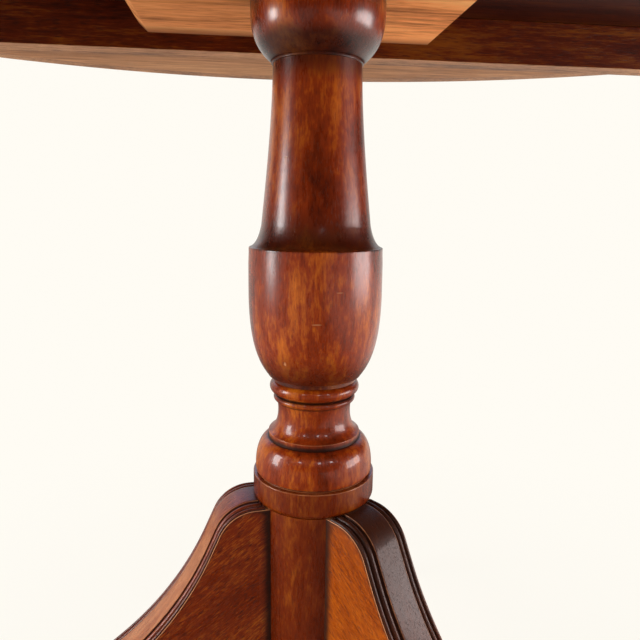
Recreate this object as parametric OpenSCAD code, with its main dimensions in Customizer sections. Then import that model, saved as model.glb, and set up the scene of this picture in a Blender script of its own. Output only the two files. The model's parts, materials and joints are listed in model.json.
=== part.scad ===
// Extending oval dining table on one turned pedestal.
// The top is split across the middle. Its two halves ride on dovetailed slides
// and a rack and pinion under the middle keeps them level with each other.
// Frame: +X along the slides, +Z up, origin on the floor under the column's axis.

/* [Table top] */
// Height of the top surface above the floor
table_h = 750; // [720:1:790]
// Length of the closed oval, along the slides
top_l = 1450; // [1400:1:1560]
// Width of the oval
top_w = 1080; // [1020:1:1140]
// Radius of the arcs that form the long sides of the oval
side_r = 972; // [900:1:1100]
// Thickness of the top
top_t = 22; // [20:0.5:27]
// Width of the solid lipping round the veneered panel
lip_w = 30; // [22:1:40]
// Gap at the split between the closed halves
split_gap = 0.3; // [0.2:0.1:0.8]
// How far each half slides out, half the length of the loose leaf
travel = 225; // [180:1:240]

/* [Slides] */
// Distance from the column's axis to the inner face of a fixed rail
rail_y = 194; // [170:1:215]
// Thickness of a fixed rail
rail_t = 27; // [24:0.5:32]
// Depth of a fixed rail below the top
rail_h = 43; // [40:0.5:48]
// Length of a fixed rail
rail_l = 800; // [760:1:900]
// Thickness of a sliding bearer
slide_t = 22; // [20:0.5:28]
// Depth of a sliding bearer
slide_h = 34; // [32:0.5:38]
// Distance from the split to the outer end of a sliding bearer
slide_end = 560; // [520:1:600]
// Running gap between wooden faces that slide
run_gap = 0.35; // [0.25:0.05:0.6]
// Depth of the dovetail tongue on a sliding bearer
tongue_d = 8; // [6:0.5:9]
// Radius of the stop peg in a fixed rail
peg_r = 2.5; // [2:0.25:3]
// Distance of the stop pegs from the middle
peg_x = 300; // [280:1:330]

/* [Rack and pinion] */
// Tooth module of the rack and pinion
gear_m = 2.5; // [2.5:0.25:2.75]
// Number of teeth on the pinion, a multiple of four
gear_n = 24; // [20:4:24]
// Face width of the pinion
gear_w = 11.5; // [10:0.5:12]
// Thickness of a rack behind its teeth
rack_back = 10; // [8:0.5:12]
// Radius of the pinion's shoulder screw
axle_r = 4; // [3:0.25:5]

/* [Block and bearers] */
// Length of the flat underside of the top block, along the slides
block_l = 248; // [240:1:256]
// Width of the top block, across the slides
block_w = 268; // [258:1:276]
// Thickness of the top block
block_t = 22; // [20:0.5:26]
// Width of the bevel at each end of the block
block_bevel = 9; // [6:0.5:11]
// Rounding of the block's long lower edges
block_round = 12; // [10:1:16]
// Place of the block's middle along the slides, seen from the column's axis
block_x = -9.5; // [-12:0.5:0]
// Depth of the space between the block and the top
bearer_h = 24; // [23.5:0.5:27]
// Width of a cross bearer
bearer_w = 60; // [50:1:64]
// Distance of a cross bearer's middle from the column's axis
bearer_x = 85; // [82:1:88]

/* [Column] */
// Radius of the bell under the block
bell_r = 46.6; // [44:0.1:49]
// Height of the bell
bell_l = 49; // [46:0.5:54]
// Radius of the shaft where it enters the bell
shaft_r = 31.4; // [29:0.1:33]
// Radius of the urn
urn_r = 50; // [47:0.1:53]
// Height of the urn, from its shoulder to the groove under it
urn_l = 101; // [94:0.5:108]
// Radius of the bead under the urn
bead_r = 34.5; // [33:0.1:36]
// Height of the turning between the urn and the collar
neck_l = 74.2; // [72:0.1:80]
// Radius of the narrowest part of the neck
neck_r = 28.4; // [27:0.1:29.5]
// Radius of the torus above the collar
torus_r = 46; // [44:0.1:47]
// Radius of the collar
collar_r = 47.7; // [46.8:0.1:49]
// Height of the collar
collar_l = 20.7; // [18:0.1:24]
// Radius of the post that holds the legs
post_r = 45; // [43:0.1:46]
// Radius of the tie rod
rod_r = 5; // [4:0.5:6]
// Radius of the spigots that join the turned pieces
spigot_r = 14; // [12:0.5:16]

/* [Legs] */
// Thickness of a leg
leg_t = 46.5; // [45:0.5:48]
// Distance of the knee's centre from the column's axis
knee_x = 50; // [49:0.5:52]
// Radius of the knee
knee_r = 32; // [30:0.5:34]
// Slope of the leg just under the knee, in degrees
steep_a = 65.3; // [64:0.1:67]
// Length of the straight stretch under the knee
steep_l = 19; // [15:1:23]
// Radius of the upper sweep
sweep_r = 231; // [224:1:240]
// Slope where the two sweeps meet, in degrees
mid_a = 38; // [36:0.5:40]
// Radius of the lower sweep
toe_r = 700; // [670:1:730]
// Slope of the toe, in degrees
toe_a = 21.5; // [20:0.5:23]
// Depth of the toe
toe_h = 34; // [32:0.5:38]
// Depth of the leg where it meets the post
root_h = 194; // [188:1:200]
// Length of the level stretch under the leg's root
root_flat = 50; // [42:1:56]

/* [Castors] */
// Height of the castor plate's bearing face above the floor
castor_h = 43.5; // [42:0.5:46]
// Radius of the castor wheel
wheel_r = 17; // [15:0.5:17.5]
// Width of the castor wheel
wheel_w = 14; // [12:0.5:15]
// Distance from the swivel's axis to the wheel's axle
trail = 12; // [10:0.5:14]
// Length of the brass toe cap
cap_l = 40; // [39:0.5:46]
// Wall of the brass toe cap
cap_wall = 2; // [1.6:0.1:2.6]
// Radius of the swivel stem
stem_r = 4; // [3.5:0.25:4.5]

/* [Catches] */
// Distance of the catches from the oval's long side
catch_in = 160; // [150:1:175]
// Distance from the split to the catch's pivot
catch_x = 35; // [33:1:40]
// Distance from the split to the keeper stud
stud_x = 14; // [13:0.5:16]
// Radius of the keeper stud
stud_r = 3; // [2.5:0.25:3.5]

/* [Hidden] */
$fn = 64;

mahogany = [0.42, 0.17, 0.08];
mahogany_dark = [0.26, 0.10, 0.05];
mahogany_light = [0.60, 0.30, 0.14];
beech = [0.72, 0.54, 0.36];
brass = [0.78, 0.62, 0.30];
steel = [0.62, 0.62, 0.64];

// Clearances between pieces
fit = 0.05;
glue = 0.1;
brass_gap = 0.3;
through = 1;
big = 4000;

// Heights from the top down to the bell
under_z = table_h - top_t;
slide_z = under_z - slide_h;
rail_z = under_z - rail_h;
tongue_z = slide_z + slide_h / 2;
block_z = under_z - bearer_h - block_t;
bearer_z = block_z + block_t;
bell_z = block_z - bell_l;

// Oval of four arcs that meet in a common tangent
side_c = side_r - top_w / 2;
end_r = (side_r * side_r - top_l * top_l / 4 - side_c * side_c) / (2 * side_r - top_l);
end_c = top_l / 2 - end_r;
side_a = atan2(end_c, side_c);
reeds = 3;
reed_step = top_t / reeds;
reed_r = reed_step / 2 - 0.4;

// Leg curve, first with the knee's centre at height 0
knee_0 = [knee_x, 0];
knee_1 = knee_0 + knee_r * [sin(steep_a), cos(steep_a)];
knee_2 = knee_1 + steep_l * [cos(steep_a), -sin(steep_a)];
sweep_0 = knee_2 + sweep_r * [sin(steep_a), cos(steep_a)];
sweep_1 = sweep_0 - sweep_r * [sin(mid_a), cos(mid_a)];
toe_0 = sweep_1 + toe_r * [sin(mid_a), cos(mid_a)];
toe_1 = toe_0 - toe_r * [sin(toe_a), cos(toe_a)];
toe_mid = toe_1 - toe_h / 2 * [sin(toe_a), cos(toe_a)];

// The castor sets how high the leg stands
pivot_run = 30;
boss_drop = 4.6;
pivot_x = toe_mid[0] + pivot_run * cos(toe_a);
cap_under = toe_mid[1] - pivot_run * sin(toe_a) - toe_h / 2 / cos(toe_a);
knee_z = round(castor_h + boss_drop - cap_under);
root_z = knee_z + knee_r - root_h;

// Heights from the post up to the shaft
knee_lap = 3;
collar_z = knee_z + knee_r - knee_lap;
neck_z = collar_z + collar_l;
urn_z = neck_z + neck_l;
shoulder_z = urn_z + urn_l;
shaft_l = bell_z - shoulder_z;

// Turned a little, so that one leg points just past the table's end
leg_turn = 7;
leg_az = [leg_turn + 180, leg_turn - 60, leg_turn + 60];
leg_steps = 9;

// Dovetail that holds a leg in the post
tail_in = 30;
tail_neck = 18;
tail_wide = 24;
tail_h = 180;

// Spigots
spigot_l = 14;
post_socket = spigot_l + 1;

// Rack and pinion
pitch_r = gear_m * gear_n / 2;
pitch = PI * gear_m;
press_a = 20;
backlash = 0.3;
tip_ease = 0.15;
gear_tip = gear_m - tip_ease;
gear_root = 1.25 * gear_m;
rack_drop = 15;
rack_z = under_z - rack_drop;
rack_lead = 20;
rack_tail = 215;
washer_t = 1;
washer_r = 12;
board_t = bearer_h - rack_drop - washer_t;
notch_gap = 0.8;
rack_out = pitch_r + gear_root + rack_back;

// Slides
tongue_root = 9;
tongue_tip = 13;
slot_z = slide_z + 5.5;
slot_d = 8;
peg_in = 10;
peg_out = 7;
slide_screw_x = [60, 230, 400, 520];
slide_screw_y = rail_y + rail_t + 15;
rack_screw_x = [30, 110, 190];

// Screws: [radius of the head, radius of the shank, length]
sink = 10;
rack_sink = 4;
screw_bite = 12;
slide_screw = [4, 2, slide_h - sink + screw_bite];
rack_screw = [3, 1.5, rack_drop - rack_sink + screw_bite];
bearer_screw = [4, 2, 32];
board_screw = [3.5, 1.75, 22];
column_screw = [5, 2.5, 50];
plate_screw = [3.5, 1.75, 24];
catch_screw = [2.4, 1.3, 9];
screw_point = 0.4;

// Reeded upper face of a leg: [inner limit, outer limit, depth below the band]
band = leg_t / 2;
leg_layers = [
    [band - 11.6, band - 9.9, 2.8],
    [band - 9.9, band - 8.6, 1.4],
    [band - 8.6, band - 6.6, 0.8],
    [band - 6.6, band - 5.3, 1.5],
    [band - 5.3, band - 3.9, 3.4],
    [band - 3.9, band - 1.4, 1.6],
    [band - 1.4, band, 2.7]
];

function arc(c, r, a0, a1, n) =
    [for (i = [0:n]) let (a = a0 + (a1 - a0) * i / n) c + r * [cos(a), sin(a)]];

// Smooth curve from p to q that leaves towards u and arrives from v
function bow(p, u, v, q, n = 10) =
    [for (i = [0:n]) let (t = i / n, s = 1 - t)
        s * s * s * p + 3 * s * s * t * u + 3 * s * t * t * v + t * t * t * q];

function involute(rb, r) = let (t = sqrt(max(0, r * r / rb / rb - 1))) t * 180 / PI - atan(t);

// Screws and small parts

module screw(size) {
    head_h = size[0] - size[1];
    cylinder(h = head_h, r1 = size[0], r2 = size[1]);
    translate([0, 0, head_h]) cylinder(h = size[2] - head_h - size[1], r = size[1]);
    translate([0, 0, size[2] - size[1]]) cylinder(h = size[1], r1 = size[1], r2 = screw_point);
}

// Hole for a countersunk screw, with a wider lead before its head
module screw_hole(size, lead = 0) {
    head_h = size[0] - size[1];
    translate([0, 0, -lead]) cylinder(h = lead + fit, r = size[0] + fit);
    cylinder(h = head_h, r1 = size[0] + fit, r2 = size[1] + fit);
    cylinder(h = size[2] + fit, r = size[1] + fit);
}

module slide_screw_places() {
    for (x = slide_screw_x, s = [-1, 1])
        translate([x, s * slide_screw_y, slide_z + sink]) children();
}

module rack_screw_places() {
    for (x = rack_screw_x)
        translate([x, rack_back / 2 - rack_out, rack_z + rack_sink]) children();
}

module slide_screws() {
    slide_screw_places() screw(slide_screw);
}

module slide_screw_holes() {
    slide_screw_places() screw_hole(slide_screw, sink + through);
}

module rack_screws() {
    rack_screw_places() screw(rack_screw);
}

module rack_screw_holes() {
    rack_screw_places() screw_hole(rack_screw, rack_sink + through);
}

// Table top

module oval(inset = 0) {
    joint_x = (side_r - inset) * sin(side_a);
    intersection() {
        translate([0, -side_c]) circle(side_r - inset, $fn = 360);
        translate([0, side_c]) circle(side_r - inset, $fn = 360);
        square([2 * joint_x, top_w], center = true);
    }
    for (s = [-1, 1]) translate([s * end_c, 0]) circle(end_r - inset, $fn = 240);
}

module right_side() {
    translate([split_gap / 2, -big / 2, 0]) cube([big, big, big]);
}

module lip_profile() {
    translate([-lip_w + glue, 0]) square([lip_w - glue - reed_r, top_t]);
    for (i = [0:reeds - 1]) translate([-reed_r, reed_step * (i + 0.5)]) circle(reed_r, $fn = 32);
}

// Lipping along one arc of the oval, from angle a0 over the span a
module lip_arc(c, r, a0, a) {
    translate([c[0], c[1], under_z]) rotate(a0) rotate_extrude(angle = a, $fn = 360)
        translate([r, 0]) lip_profile();
}

// Each half has three strips: the end, and half of each long side
module edge() {
    joint_a = glue / end_r * 180 / PI;
    for (s = [-1, 1]) intersection() {
        lip_arc([0, -s * side_c], side_r, s > 0 ? 90 - side_a : -91, side_a + 1);
        right_side();
    }
    lip_arc([end_c, 0], end_r, side_a - 90 + joint_a, 180 - 2 * side_a - 2 * joint_a);
}

module panel() {
    difference() {
        intersection() {
            translate([0, 0, under_z]) linear_extrude(top_t) oval(lip_w);
            right_side();
        }
        slide_screw_holes();
        rack_screw_holes();
    }
}

dowel_r = 5;
dowel_in = 22;
dowel_out = 14;
catch_y = top_w / 2 - catch_in;
dowel_step = 40;
dowel_y = [dowel_step - catch_y, 0, catch_y - dowel_step];
dowel_z = under_z + top_t / 2;

module dowel_places() {
    for (y = dowel_y) translate([0, y, dowel_z]) rotate([0, 90, 0]) children();
}

module top_right() color(mahogany) {
    difference() {
        panel();
        dowel_places() cylinder(h = dowel_in + glue, r = dowel_r + fit);
        catch_screw_places() screw_hole(catch_screw);
        for (s = [-1, 1]) translate([catch_x, s * catch_y, under_z - through])
            cylinder(h = pin_in + through + fit, r = pin_r + fit);
    }
}

module top_left() color(mahogany) {
    difference() {
        rotate(180) panel();
        dowel_places() translate([0, 0, -dowel_out - 1]) cylinder(h = dowel_out + 1, r = dowel_r + fit);
        for (s = [-1, 1]) translate([-stud_x, s * catch_y, under_z - through])
            cylinder(h = pin_in + through + fit, r = stud_r - 1 + fit);
    }
}

module edge_right() color(mahogany_dark) edge();
module edge_left() color(mahogany_dark) rotate(180) edge();

module dowels() color(beech) {
    dowel_places() {
        translate([0, 0, 1.5 - dowel_out]) cylinder(h = dowel_in + dowel_out - 1.5, r = dowel_r);
        translate([0, 0, -dowel_out]) cylinder(h = 1.5, r1 = dowel_r - 1.5, r2 = dowel_r);
    }
}

// Slides: each sliding bearer's dovetail tongue runs in the groove of a fixed rail

module tongue(play = 0) {
    polygon([
        [run_gap + play, tongue_root / 2 + play],
        [-tongue_d - play, tongue_tip / 2 + play],
        [-tongue_d - play, -tongue_tip / 2 - play],
        [run_gap + play, -tongue_root / 2 - play]
    ]);
}

// Profile in the YZ plane, drawn out along X from x0 over the length l
module along_x(x0, l) {
    translate([x0, 0, 0]) rotate([90, 0, 90]) linear_extrude(l) children();
}

module sliding_bearer() {
    face_y = rail_y + rail_t;
    x0 = 3;
    difference() {
        union() {
            translate([x0, face_y + run_gap, slide_z]) cube([slide_end - x0, slide_t, slide_h]);
            translate([0, face_y, tongue_z]) along_x(x0, slide_end - x0) tongue();
        }
        // slot for the stop peg
        translate([peg_x - travel, face_y, slot_z]) slot();
        slide_screw_holes();
        // rounded outer end
        translate([slide_end - 16, face_y, slide_z]) end_relief();
    }
}

module slot() {
    half = peg_r + run_gap;
    translate([-half, -through, -half]) cube([travel + 2 * half, slot_d + through, 2 * half]);
}

module end_relief() {
    rotate([-90, 0, 0]) translate([0, 0, -tongue_d - 2]) linear_extrude(slide_t + tongue_d + 4)
        difference() {
            translate([0, -16]) square([17, 17]);
            translate([0, -16]) circle(16);
        }
}

module slide_right_far() color(mahogany_dark) sliding_bearer();
module slide_right_near() color(mahogany_dark) mirror([0, 1, 0]) sliding_bearer();
module slide_left_far() color(mahogany_dark) mirror([1, 0, 0]) sliding_bearer();
module slide_left_near() color(mahogany_dark) rotate(180) sliding_bearer();
module slide_screws_right() color(brass) slide_screws();
module slide_screws_left() color(brass) rotate(180) slide_screws();

tenon_l = 8;
tenon_h = 12;
tenon_z = bearer_z + 4;

module bearer_tenons(play = 0) {
    for (s = [-1, 1])
        translate([s * bearer_x - bearer_w / 2 + 6 - play, rail_y - 1, tenon_z - play])
            cube([bearer_w - 12 + 2 * play, tenon_l + 1 + play, tenon_h + 2 * play]);
}

module fixed_rail() {
    face_y = rail_y + rail_t;
    difference() {
        translate([-rail_l / 2, rail_y, rail_z]) cube([rail_l, rail_t, rail_h - run_gap]);
        translate([0, face_y, tongue_z]) along_x(-rail_l / 2 - 1, rail_l + 2) tongue(run_gap);
        bearer_tenons(fit);
        for (s = [-1, 1]) translate([s * peg_x, face_y + through, slot_z]) rotate([90, 0, 0])
            cylinder(h = peg_in + through, r = peg_r + fit);
    }
}

module rail_far() color(mahogany_dark) fixed_rail();
module rail_near() color(mahogany_dark) mirror([0, 1, 0]) fixed_rail();

module stop_pegs() color(beech) {
    for (s = [-1, 1], t = [-1, 1])
        translate([s * peg_x, t * (rail_y + rail_t - peg_in), slot_z]) rotate([-90 * t, 0, 0])
            cylinder(h = peg_in + peg_out, r = peg_r);
}

// Cross bearers, housed over the racks' path and tenoned into the fixed rails

bearer_screw_y = 82;
bearer_sink = 4;

module bearer_screw_places() {
    for (s = [-1, 1], t = [-1, 1])
        translate([s * bearer_x, t * bearer_screw_y, under_z - bearer_sink]) rotate([180, 0, 0]) children();
}

module cross_bearer() {
    top_z = under_z - 1;
    difference() {
        union() {
            translate([bearer_x - bearer_w / 2, glue - rail_y, bearer_z])
                cube([bearer_w, 2 * (rail_y - glue), top_z - bearer_z]);
            intersection() {
                union() {
                    bearer_tenons();
                    mirror([0, 1, 0]) bearer_tenons();
                }
                translate([0, -big / 2, 0]) cube(big);
            }
        }
        translate([0, -rack_out - 2, rack_z - notch_gap]) cube([big, 2 * rack_out + 4, rack_drop + 1]);
        bearer_screw_places() screw_hole(bearer_screw, bearer_h);
    }
}

module bearer_right() color(mahogany_light) cross_bearer();
module bearer_left() color(mahogany_light) mirror([1, 0, 0]) cross_bearer();
module bearer_screws() color(steel) bearer_screw_places() screw(bearer_screw);

// Rack and pinion

board_screw_x = 42;
board_screw_y = 46;

module board_screw_places() {
    for (s = [-1, 1], t = [-1, 1])
        translate([s * board_screw_x, t * board_screw_y, bearer_z + board_t])
            rotate([180, 0, 0]) children();
}

board_x = bearer_x - bearer_w / 2 - glue;
board_y = 60;

module pinion_board() color(mahogany_light) {
    difference() {
        translate([-board_x, -board_y, bearer_z]) cube([2 * board_x, 2 * board_y, board_t]);
        translate([0, 0, bearer_z - through]) cylinder(h = big, r = axle_r - 1 + fit);
        board_screw_places() screw_hole(board_screw, through);
    }
}

module board_screws() color(steel) board_screw_places() screw(board_screw);

module pinion_washer() color(steel) {
    translate([0, 0, bearer_z + board_t]) difference() {
        cylinder(h = washer_t - fit, r = washer_r);
        translate([0, 0, -through]) cylinder(h = washer_t + 2 * through, r = axle_r + fit);
    }
}

// Shoulder screw: thread in the board, shoulder in the pinion, head over it
module pinion_screw() color(steel) {
    z = bearer_z + board_t;
    translate([0, 0, z - board_t + 0.5]) cylinder(h = board_t - 0.5, r = axle_r - 1);
    translate([0, 0, z]) cylinder(h = washer_t + gear_w + brass_gap, r = axle_r);
    translate([0, 0, z + washer_t + gear_w + brass_gap]) cylinder(h = 1.2, r = 2 * axle_r);
}

// Half the angle of a tooth at radius r, thinned by the backlash
function tooth_half(r) =
    let (rb = pitch_r * cos(press_a))
    90 / gear_n - backlash / 4 / pitch_r * 180 / PI
    + involute(rb, pitch_r) - involute(rb, max(rb, r));

gear_radii = [for (i = [0:4]) pitch_r * cos(press_a) + (pitch_r + gear_tip - pitch_r * cos(press_a)) * i / 4];

module pinion_outline() {
    root = pitch_r - gear_root;
    polygon([for (k = [0:gear_n - 1]) let (a = 360 / gear_n * k) each concat(
        [root * [cos(a - tooth_half(root)), sin(a - tooth_half(root))]],
        [for (r = gear_radii) r * [cos(a - tooth_half(r)), sin(a - tooth_half(r))]],
        [for (i = [len(gear_radii) - 1:-1:0]) let (r = gear_radii[i])
            r * [cos(a + tooth_half(r)), sin(a + tooth_half(r))]],
        [root * [cos(a + tooth_half(root)), sin(a + tooth_half(root))]]
    )]);
}

module pinion() color(beech) {
    translate([0, 0, bearer_z + board_t + washer_t]) difference() {
        linear_extrude(gear_w) pinion_outline();
        translate([0, 0, -through]) cylinder(h = gear_w + 2 * through, r = axle_r + fit);
        for (a = [0:60:300]) rotate(a + 30) translate([pitch_r * 0.55, 0, -through])
            cylinder(h = gear_w + 2 * through, r = 4.5);
    }
}

// Rack of the right half, on the near side of the pinion, teeth towards it.
// A tooth space lies at x = 0.
module rack_outline() {
    slope = tan(press_a);
    first = -floor(travel / pitch) - 2;
    last = 1;
    y_root = -pitch_r - gear_root;
    polygon(concat(
        [[-travel - rack_lead, y_root - rack_back], [-travel - rack_lead, y_root]],
        [for (k = [first:last]) let (x = (k + 0.5) * pitch, h = pitch / 4) each [
            [x - h - gear_root * slope, y_root],
            [x - h + gear_tip * slope, -pitch_r + gear_tip],
            [x + h - gear_tip * slope, -pitch_r + gear_tip],
            [x + h + gear_root * slope, y_root]
        ]],
        [[rack_tail, y_root], [rack_tail, y_root - rack_back]]
    ));
}

module rack() {
    difference() {
        translate([0, 0, rack_z]) linear_extrude(rack_drop) rack_outline();
        // the stretch that reaches under the other half stays clear of it
        translate([-big + split_gap, -big / 2, under_z - 0.5]) cube([big, big, big]);
        rack_screw_holes();
    }
}

module rack_right() color(beech) rack();
module rack_left() color(beech) rotate(180) rack();
module rack_screws_right() color(steel) rack_screws();
module rack_screws_left() color(steel) rotate(180) rack_screws();

// Catches that lock the closed halves: a lever on the right half, a stud on the left

plate_t = 1.5;
lever_t = 3;
lever_z = under_z - plate_t - brass_gap - lever_t;
lever_reach = catch_x + stud_x;
lever_w = 12;
lever_grip = 22;
hook_wall = 5;
pin_r = 2.5;
pin_in = 11;
pin_head_t = 1.5;
plate_l = 38;
plate_w = 18;

module catch_screw_places() {
    for (s = [-1, 1], dy = [-1, 1])
        translate([catch_x, s * catch_y + dy * plate_l / 3, under_z - plate_t]) children();
}

// Each plate carries the pivot pin, which reaches into the top
module catch_plates() color(brass) {
    pin_z = lever_z - brass_gap;
    difference() {
        for (s = [-1, 1]) translate([catch_x - plate_w / 2, s * catch_y - plate_l / 2, under_z - plate_t])
            cube([plate_w, plate_l, plate_t]);
        catch_screw_places() screw_hole(catch_screw, through);
    }
    for (s = [-1, 1]) translate([catch_x, s * catch_y, 0]) {
        translate([0, 0, pin_z]) cylinder(h = under_z - pin_z + pin_in, r = pin_r);
        translate([0, 0, pin_z - pin_head_t]) cylinder(h = pin_head_t, r = 2 * pin_r);
    }
    catch_screw_places() screw(catch_screw);
}

// Lever at rest lies along +Y from the pivot, and its tail is the finger grip.
// The hook is open on its leading side, along the stud's arc about the pivot.
module lever_outline() {
    hook_r = stud_r + brass_gap;
    difference() {
        union() {
            circle(3 * pin_r);
            translate([-lever_w / 2, 0]) square([lever_w, lever_reach]);
            translate([0, lever_reach]) circle(hook_r + hook_wall);
            translate([-lever_w / 3, -lever_grip]) square([2 * lever_w / 3, lever_grip]);
            translate([0, -lever_grip]) circle(lever_w / 2);
        }
        circle(pin_r + fit);
        translate([0, lever_reach]) circle(hook_r);
        intersection() {
            difference() {
                circle(lever_reach + hook_r);
                circle(lever_reach - hook_r);
            }
            translate([-lever_reach, 0]) square([lever_reach, 2 * lever_reach]);
        }
    }
}

// The lever points at the column when it is open
module catch_lever_near() color(brass)
    translate([catch_x, -catch_y, lever_z]) linear_extrude(lever_t) lever_outline();
module catch_lever_far() color(brass)
    translate([catch_x, catch_y, lever_z]) linear_extrude(lever_t) mirror([0, 1]) lever_outline();

module keeper_studs() color(brass) {
    for (s = [-1, 1]) translate([-stud_x, s * catch_y, 0]) {
        translate([0, 0, lever_z - 1]) cylinder(h = under_z - lever_z + 1, r = stud_r);
        translate([0, 0, under_z - 1]) cylinder(h = 1 + pin_in, r = stud_r - 1);
    }
}

// Top block and the turned column, all threaded on one tie rod

module tie_bore(z0, z1) {
    translate([0, 0, z0 - through]) cylinder(h = z1 - z0 + 2 * through, r = rod_r + 0.5);
}

column_screw_r = 33;
nut_t = 8;
nut_z = bearer_z - nut_t - 4;

module column_screw_places() {
    for (a = [45:90:315]) rotate(a)
        translate([column_screw_r, 0, bearer_z - brass_gap]) rotate([180, 0, 0]) children();
}

module block() color(mahogany_light) {
    half_x = block_l / 2;
    half_y = block_w / 2;
    difference() {
        intersection() {
            along_x(-big / 2, big) union() {
                translate([-half_y, block_z + block_round]) square([block_w, block_t - block_round]);
                translate([block_round - half_y, block_z]) square([block_w - 2 * block_round, block_t]);
                for (s = [-1, 1]) translate([s * (half_y - block_round), block_z + block_round])
                    circle(block_round);
            }
            translate([block_x, big / 2, 0]) rotate([90, 0, 0]) linear_extrude(big) polygon([
                [-half_x, block_z], [half_x, block_z],
                [half_x + block_bevel, block_z + block_bevel], [half_x + block_bevel, bearer_z],
                [-half_x - block_bevel, bearer_z], [-half_x - block_bevel, block_z + block_bevel]
            ]);
        }
        tie_bore(block_z, bearer_z);
        translate([0, 0, nut_z - rod_washer_t]) cylinder(h = big, r = rod_washer_r + 2);
        column_screw_places() screw_hole(column_screw, 2 * through);
        bearer_screw_places() screw_hole(bearer_screw);
        board_screw_places() screw_hole(board_screw);
    }
}

module column_screws() color(steel) column_screw_places() screw(column_screw);

// A turning is the outline on the right of the axis, closed along the axis
module turning(outline) {
    rotate_extrude() polygon(concat([[0, outline[0][1]]], outline, [[0, outline[len(outline) - 1][1]]]));
}

module spigot(z, l) {
    translate([0, 0, z - l]) cylinder(h = l + 1, r = spigot_r);
}

module socket(z, l) {
    translate([0, 0, z - l - 0.5]) cylinder(h = l + 0.5 + through, r = spigot_r + glue);
}

lip_h = 1.6;
fillet_h = 9.5;

// Quarter bowl on a thin lip, with a straight fillet under the block
function bell_outline() = concat(
    [[shaft_r + 0.1, bell_z], [shaft_r + 0.9, bell_z + 0.4], [shaft_r + 0.9, bell_z + lip_h]],
    bow([shaft_r + 1.2, bell_z + 2], [bell_r - 5.6, bell_z + 8],
        [bell_r, bell_z + 17], [bell_r, bell_z + 31], 14),
    [[bell_r, block_z - fillet_h - 1.2], [bell_r - 0.8, block_z - fillet_h - 0.6],
     [bell_r - 0.8, block_z - fillet_h], [bell_r - 0.2, block_z - fillet_h + 0.4], [bell_r - 0.4, block_z]]
);

module bell() color(mahogany) {
    difference() {
        union() {
            turning(bell_outline());
            spigot(bell_z, spigot_l);
        }
        tie_bore(bell_z - spigot_l, block_z);
        column_screw_places() screw_hole(column_screw);
    }
}

arris_h = 4;
groove_h = 4.4;
cove_r = 40.2;
cove_h = 16;

// Urn with its shoulder, a cove, and the shaft that narrows up to the bell
function column_outline() = concat(
    [[bead_r - 2.5, urn_z], [bead_r - 2.5, urn_z + groove_h - 1]],
    bow([bead_r + 1.1, urn_z + groove_h], [urn_r - 3.5, urn_z + groove_h + 13.6],
        [urn_r + 0.2, urn_z + 39], [urn_r, urn_z + 70], 16),
    [[urn_r - 0.5, shoulder_z - arris_h], [urn_r - 0.5, shoulder_z]],
    bow([urn_r - 0.8, shoulder_z + 0.2], [urn_r - 5.5, shoulder_z + 1.5],
        [cove_r + 1.6, shoulder_z + cove_h / 2], [cove_r, shoulder_z + cove_h], 10),
    bow([cove_r, shoulder_z + cove_h], [shaft_r + 4.6, shoulder_z + shaft_l * 0.42],
        [shaft_r + 0.4, shoulder_z + shaft_l * 0.74], [shaft_r, bell_z], 14)
);

module column() color(mahogany) {
    difference() {
        union() {
            turning(column_outline());
            spigot(urn_z, spigot_l);
        }
        tie_bore(urn_z - spigot_l, bell_z);
        socket(bell_z, spigot_l);
    }
}

bead_h = 5;
reed_h = 2.4;
fillet_r = 35.6;
fillet_z = neck_z + 28;

// From the collar up: torus, fillet, hollow neck, small reed and bead
function neck_outline() = concat(
    [[torus_r - 1.6, neck_z], [torus_r - 1.6, neck_z + 0.8], [torus_r - 0.4, neck_z + 2]],
    bow([torus_r, neck_z + 6], [torus_r, neck_z + 17], [fillet_r + 6.4, neck_z + 27.2],
        [fillet_r + 0.4, fillet_z], 12),
    [[fillet_r, fillet_z + 0.2], [fillet_r, fillet_z + 5]],
    bow([fillet_r - 0.4, fillet_z + 5.2], [neck_r - 1.4, fillet_z + 9],
        [neck_r - 1, fillet_z + 24], [neck_r + 0.6, urn_z - 16.6], 12),
    arc([bead_r - 5.3, urn_z - 14], reed_h, -70, 78, 6),
    arc([bead_r - bead_h, urn_z - bead_h - 0.2], bead_h, -72, 90, 10),
    [[bead_r - bead_h, urn_z]]
);

module neck() color(mahogany) {
    difference() {
        union() {
            turning(neck_outline());
            spigot(neck_z, collar_l + spigot_l);
        }
        tie_bore(neck_z - collar_l - spigot_l, urn_z);
        socket(urn_z, spigot_l);
    }
}

collar_round = 5;

module collar() color(mahogany) {
    difference() {
        turning(concat(
            [[post_r - 4, collar_z]],
            arc([collar_r - collar_round, collar_z + collar_round], collar_round, -80, 0, 6),
            [[collar_r, neck_z - 0.8], [collar_r - 0.8, neck_z]]
        ));
        translate([0, 0, collar_z - through]) cylinder(h = collar_l + 2 * through, r = spigot_r + glue);
    }
}

module tail_outline(play = 0) {
    polygon([
        [tail_in - play, tail_wide / 2 + play], [post_r + 2, tail_neck / 2 + play],
        [post_r + 2, -tail_neck / 2 - play], [tail_in - play, -tail_wide / 2 - play]
    ]);
}

module post() color(mahogany) {
    difference() {
        translate([0, 0, root_z]) cylinder(h = collar_z - root_z, r = post_r);
        for (a = leg_az) rotate(a) translate([0, 0, root_z - through])
            linear_extrude(tail_h + 0.5 + through) tail_outline(glue);
        tie_bore(root_z, collar_z);
        socket(collar_z, post_socket);
        for (a = leg_az) rotate(a + 60) plate_screw_post() screw_hole(plate_screw);
    }
}

// Legs

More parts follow.
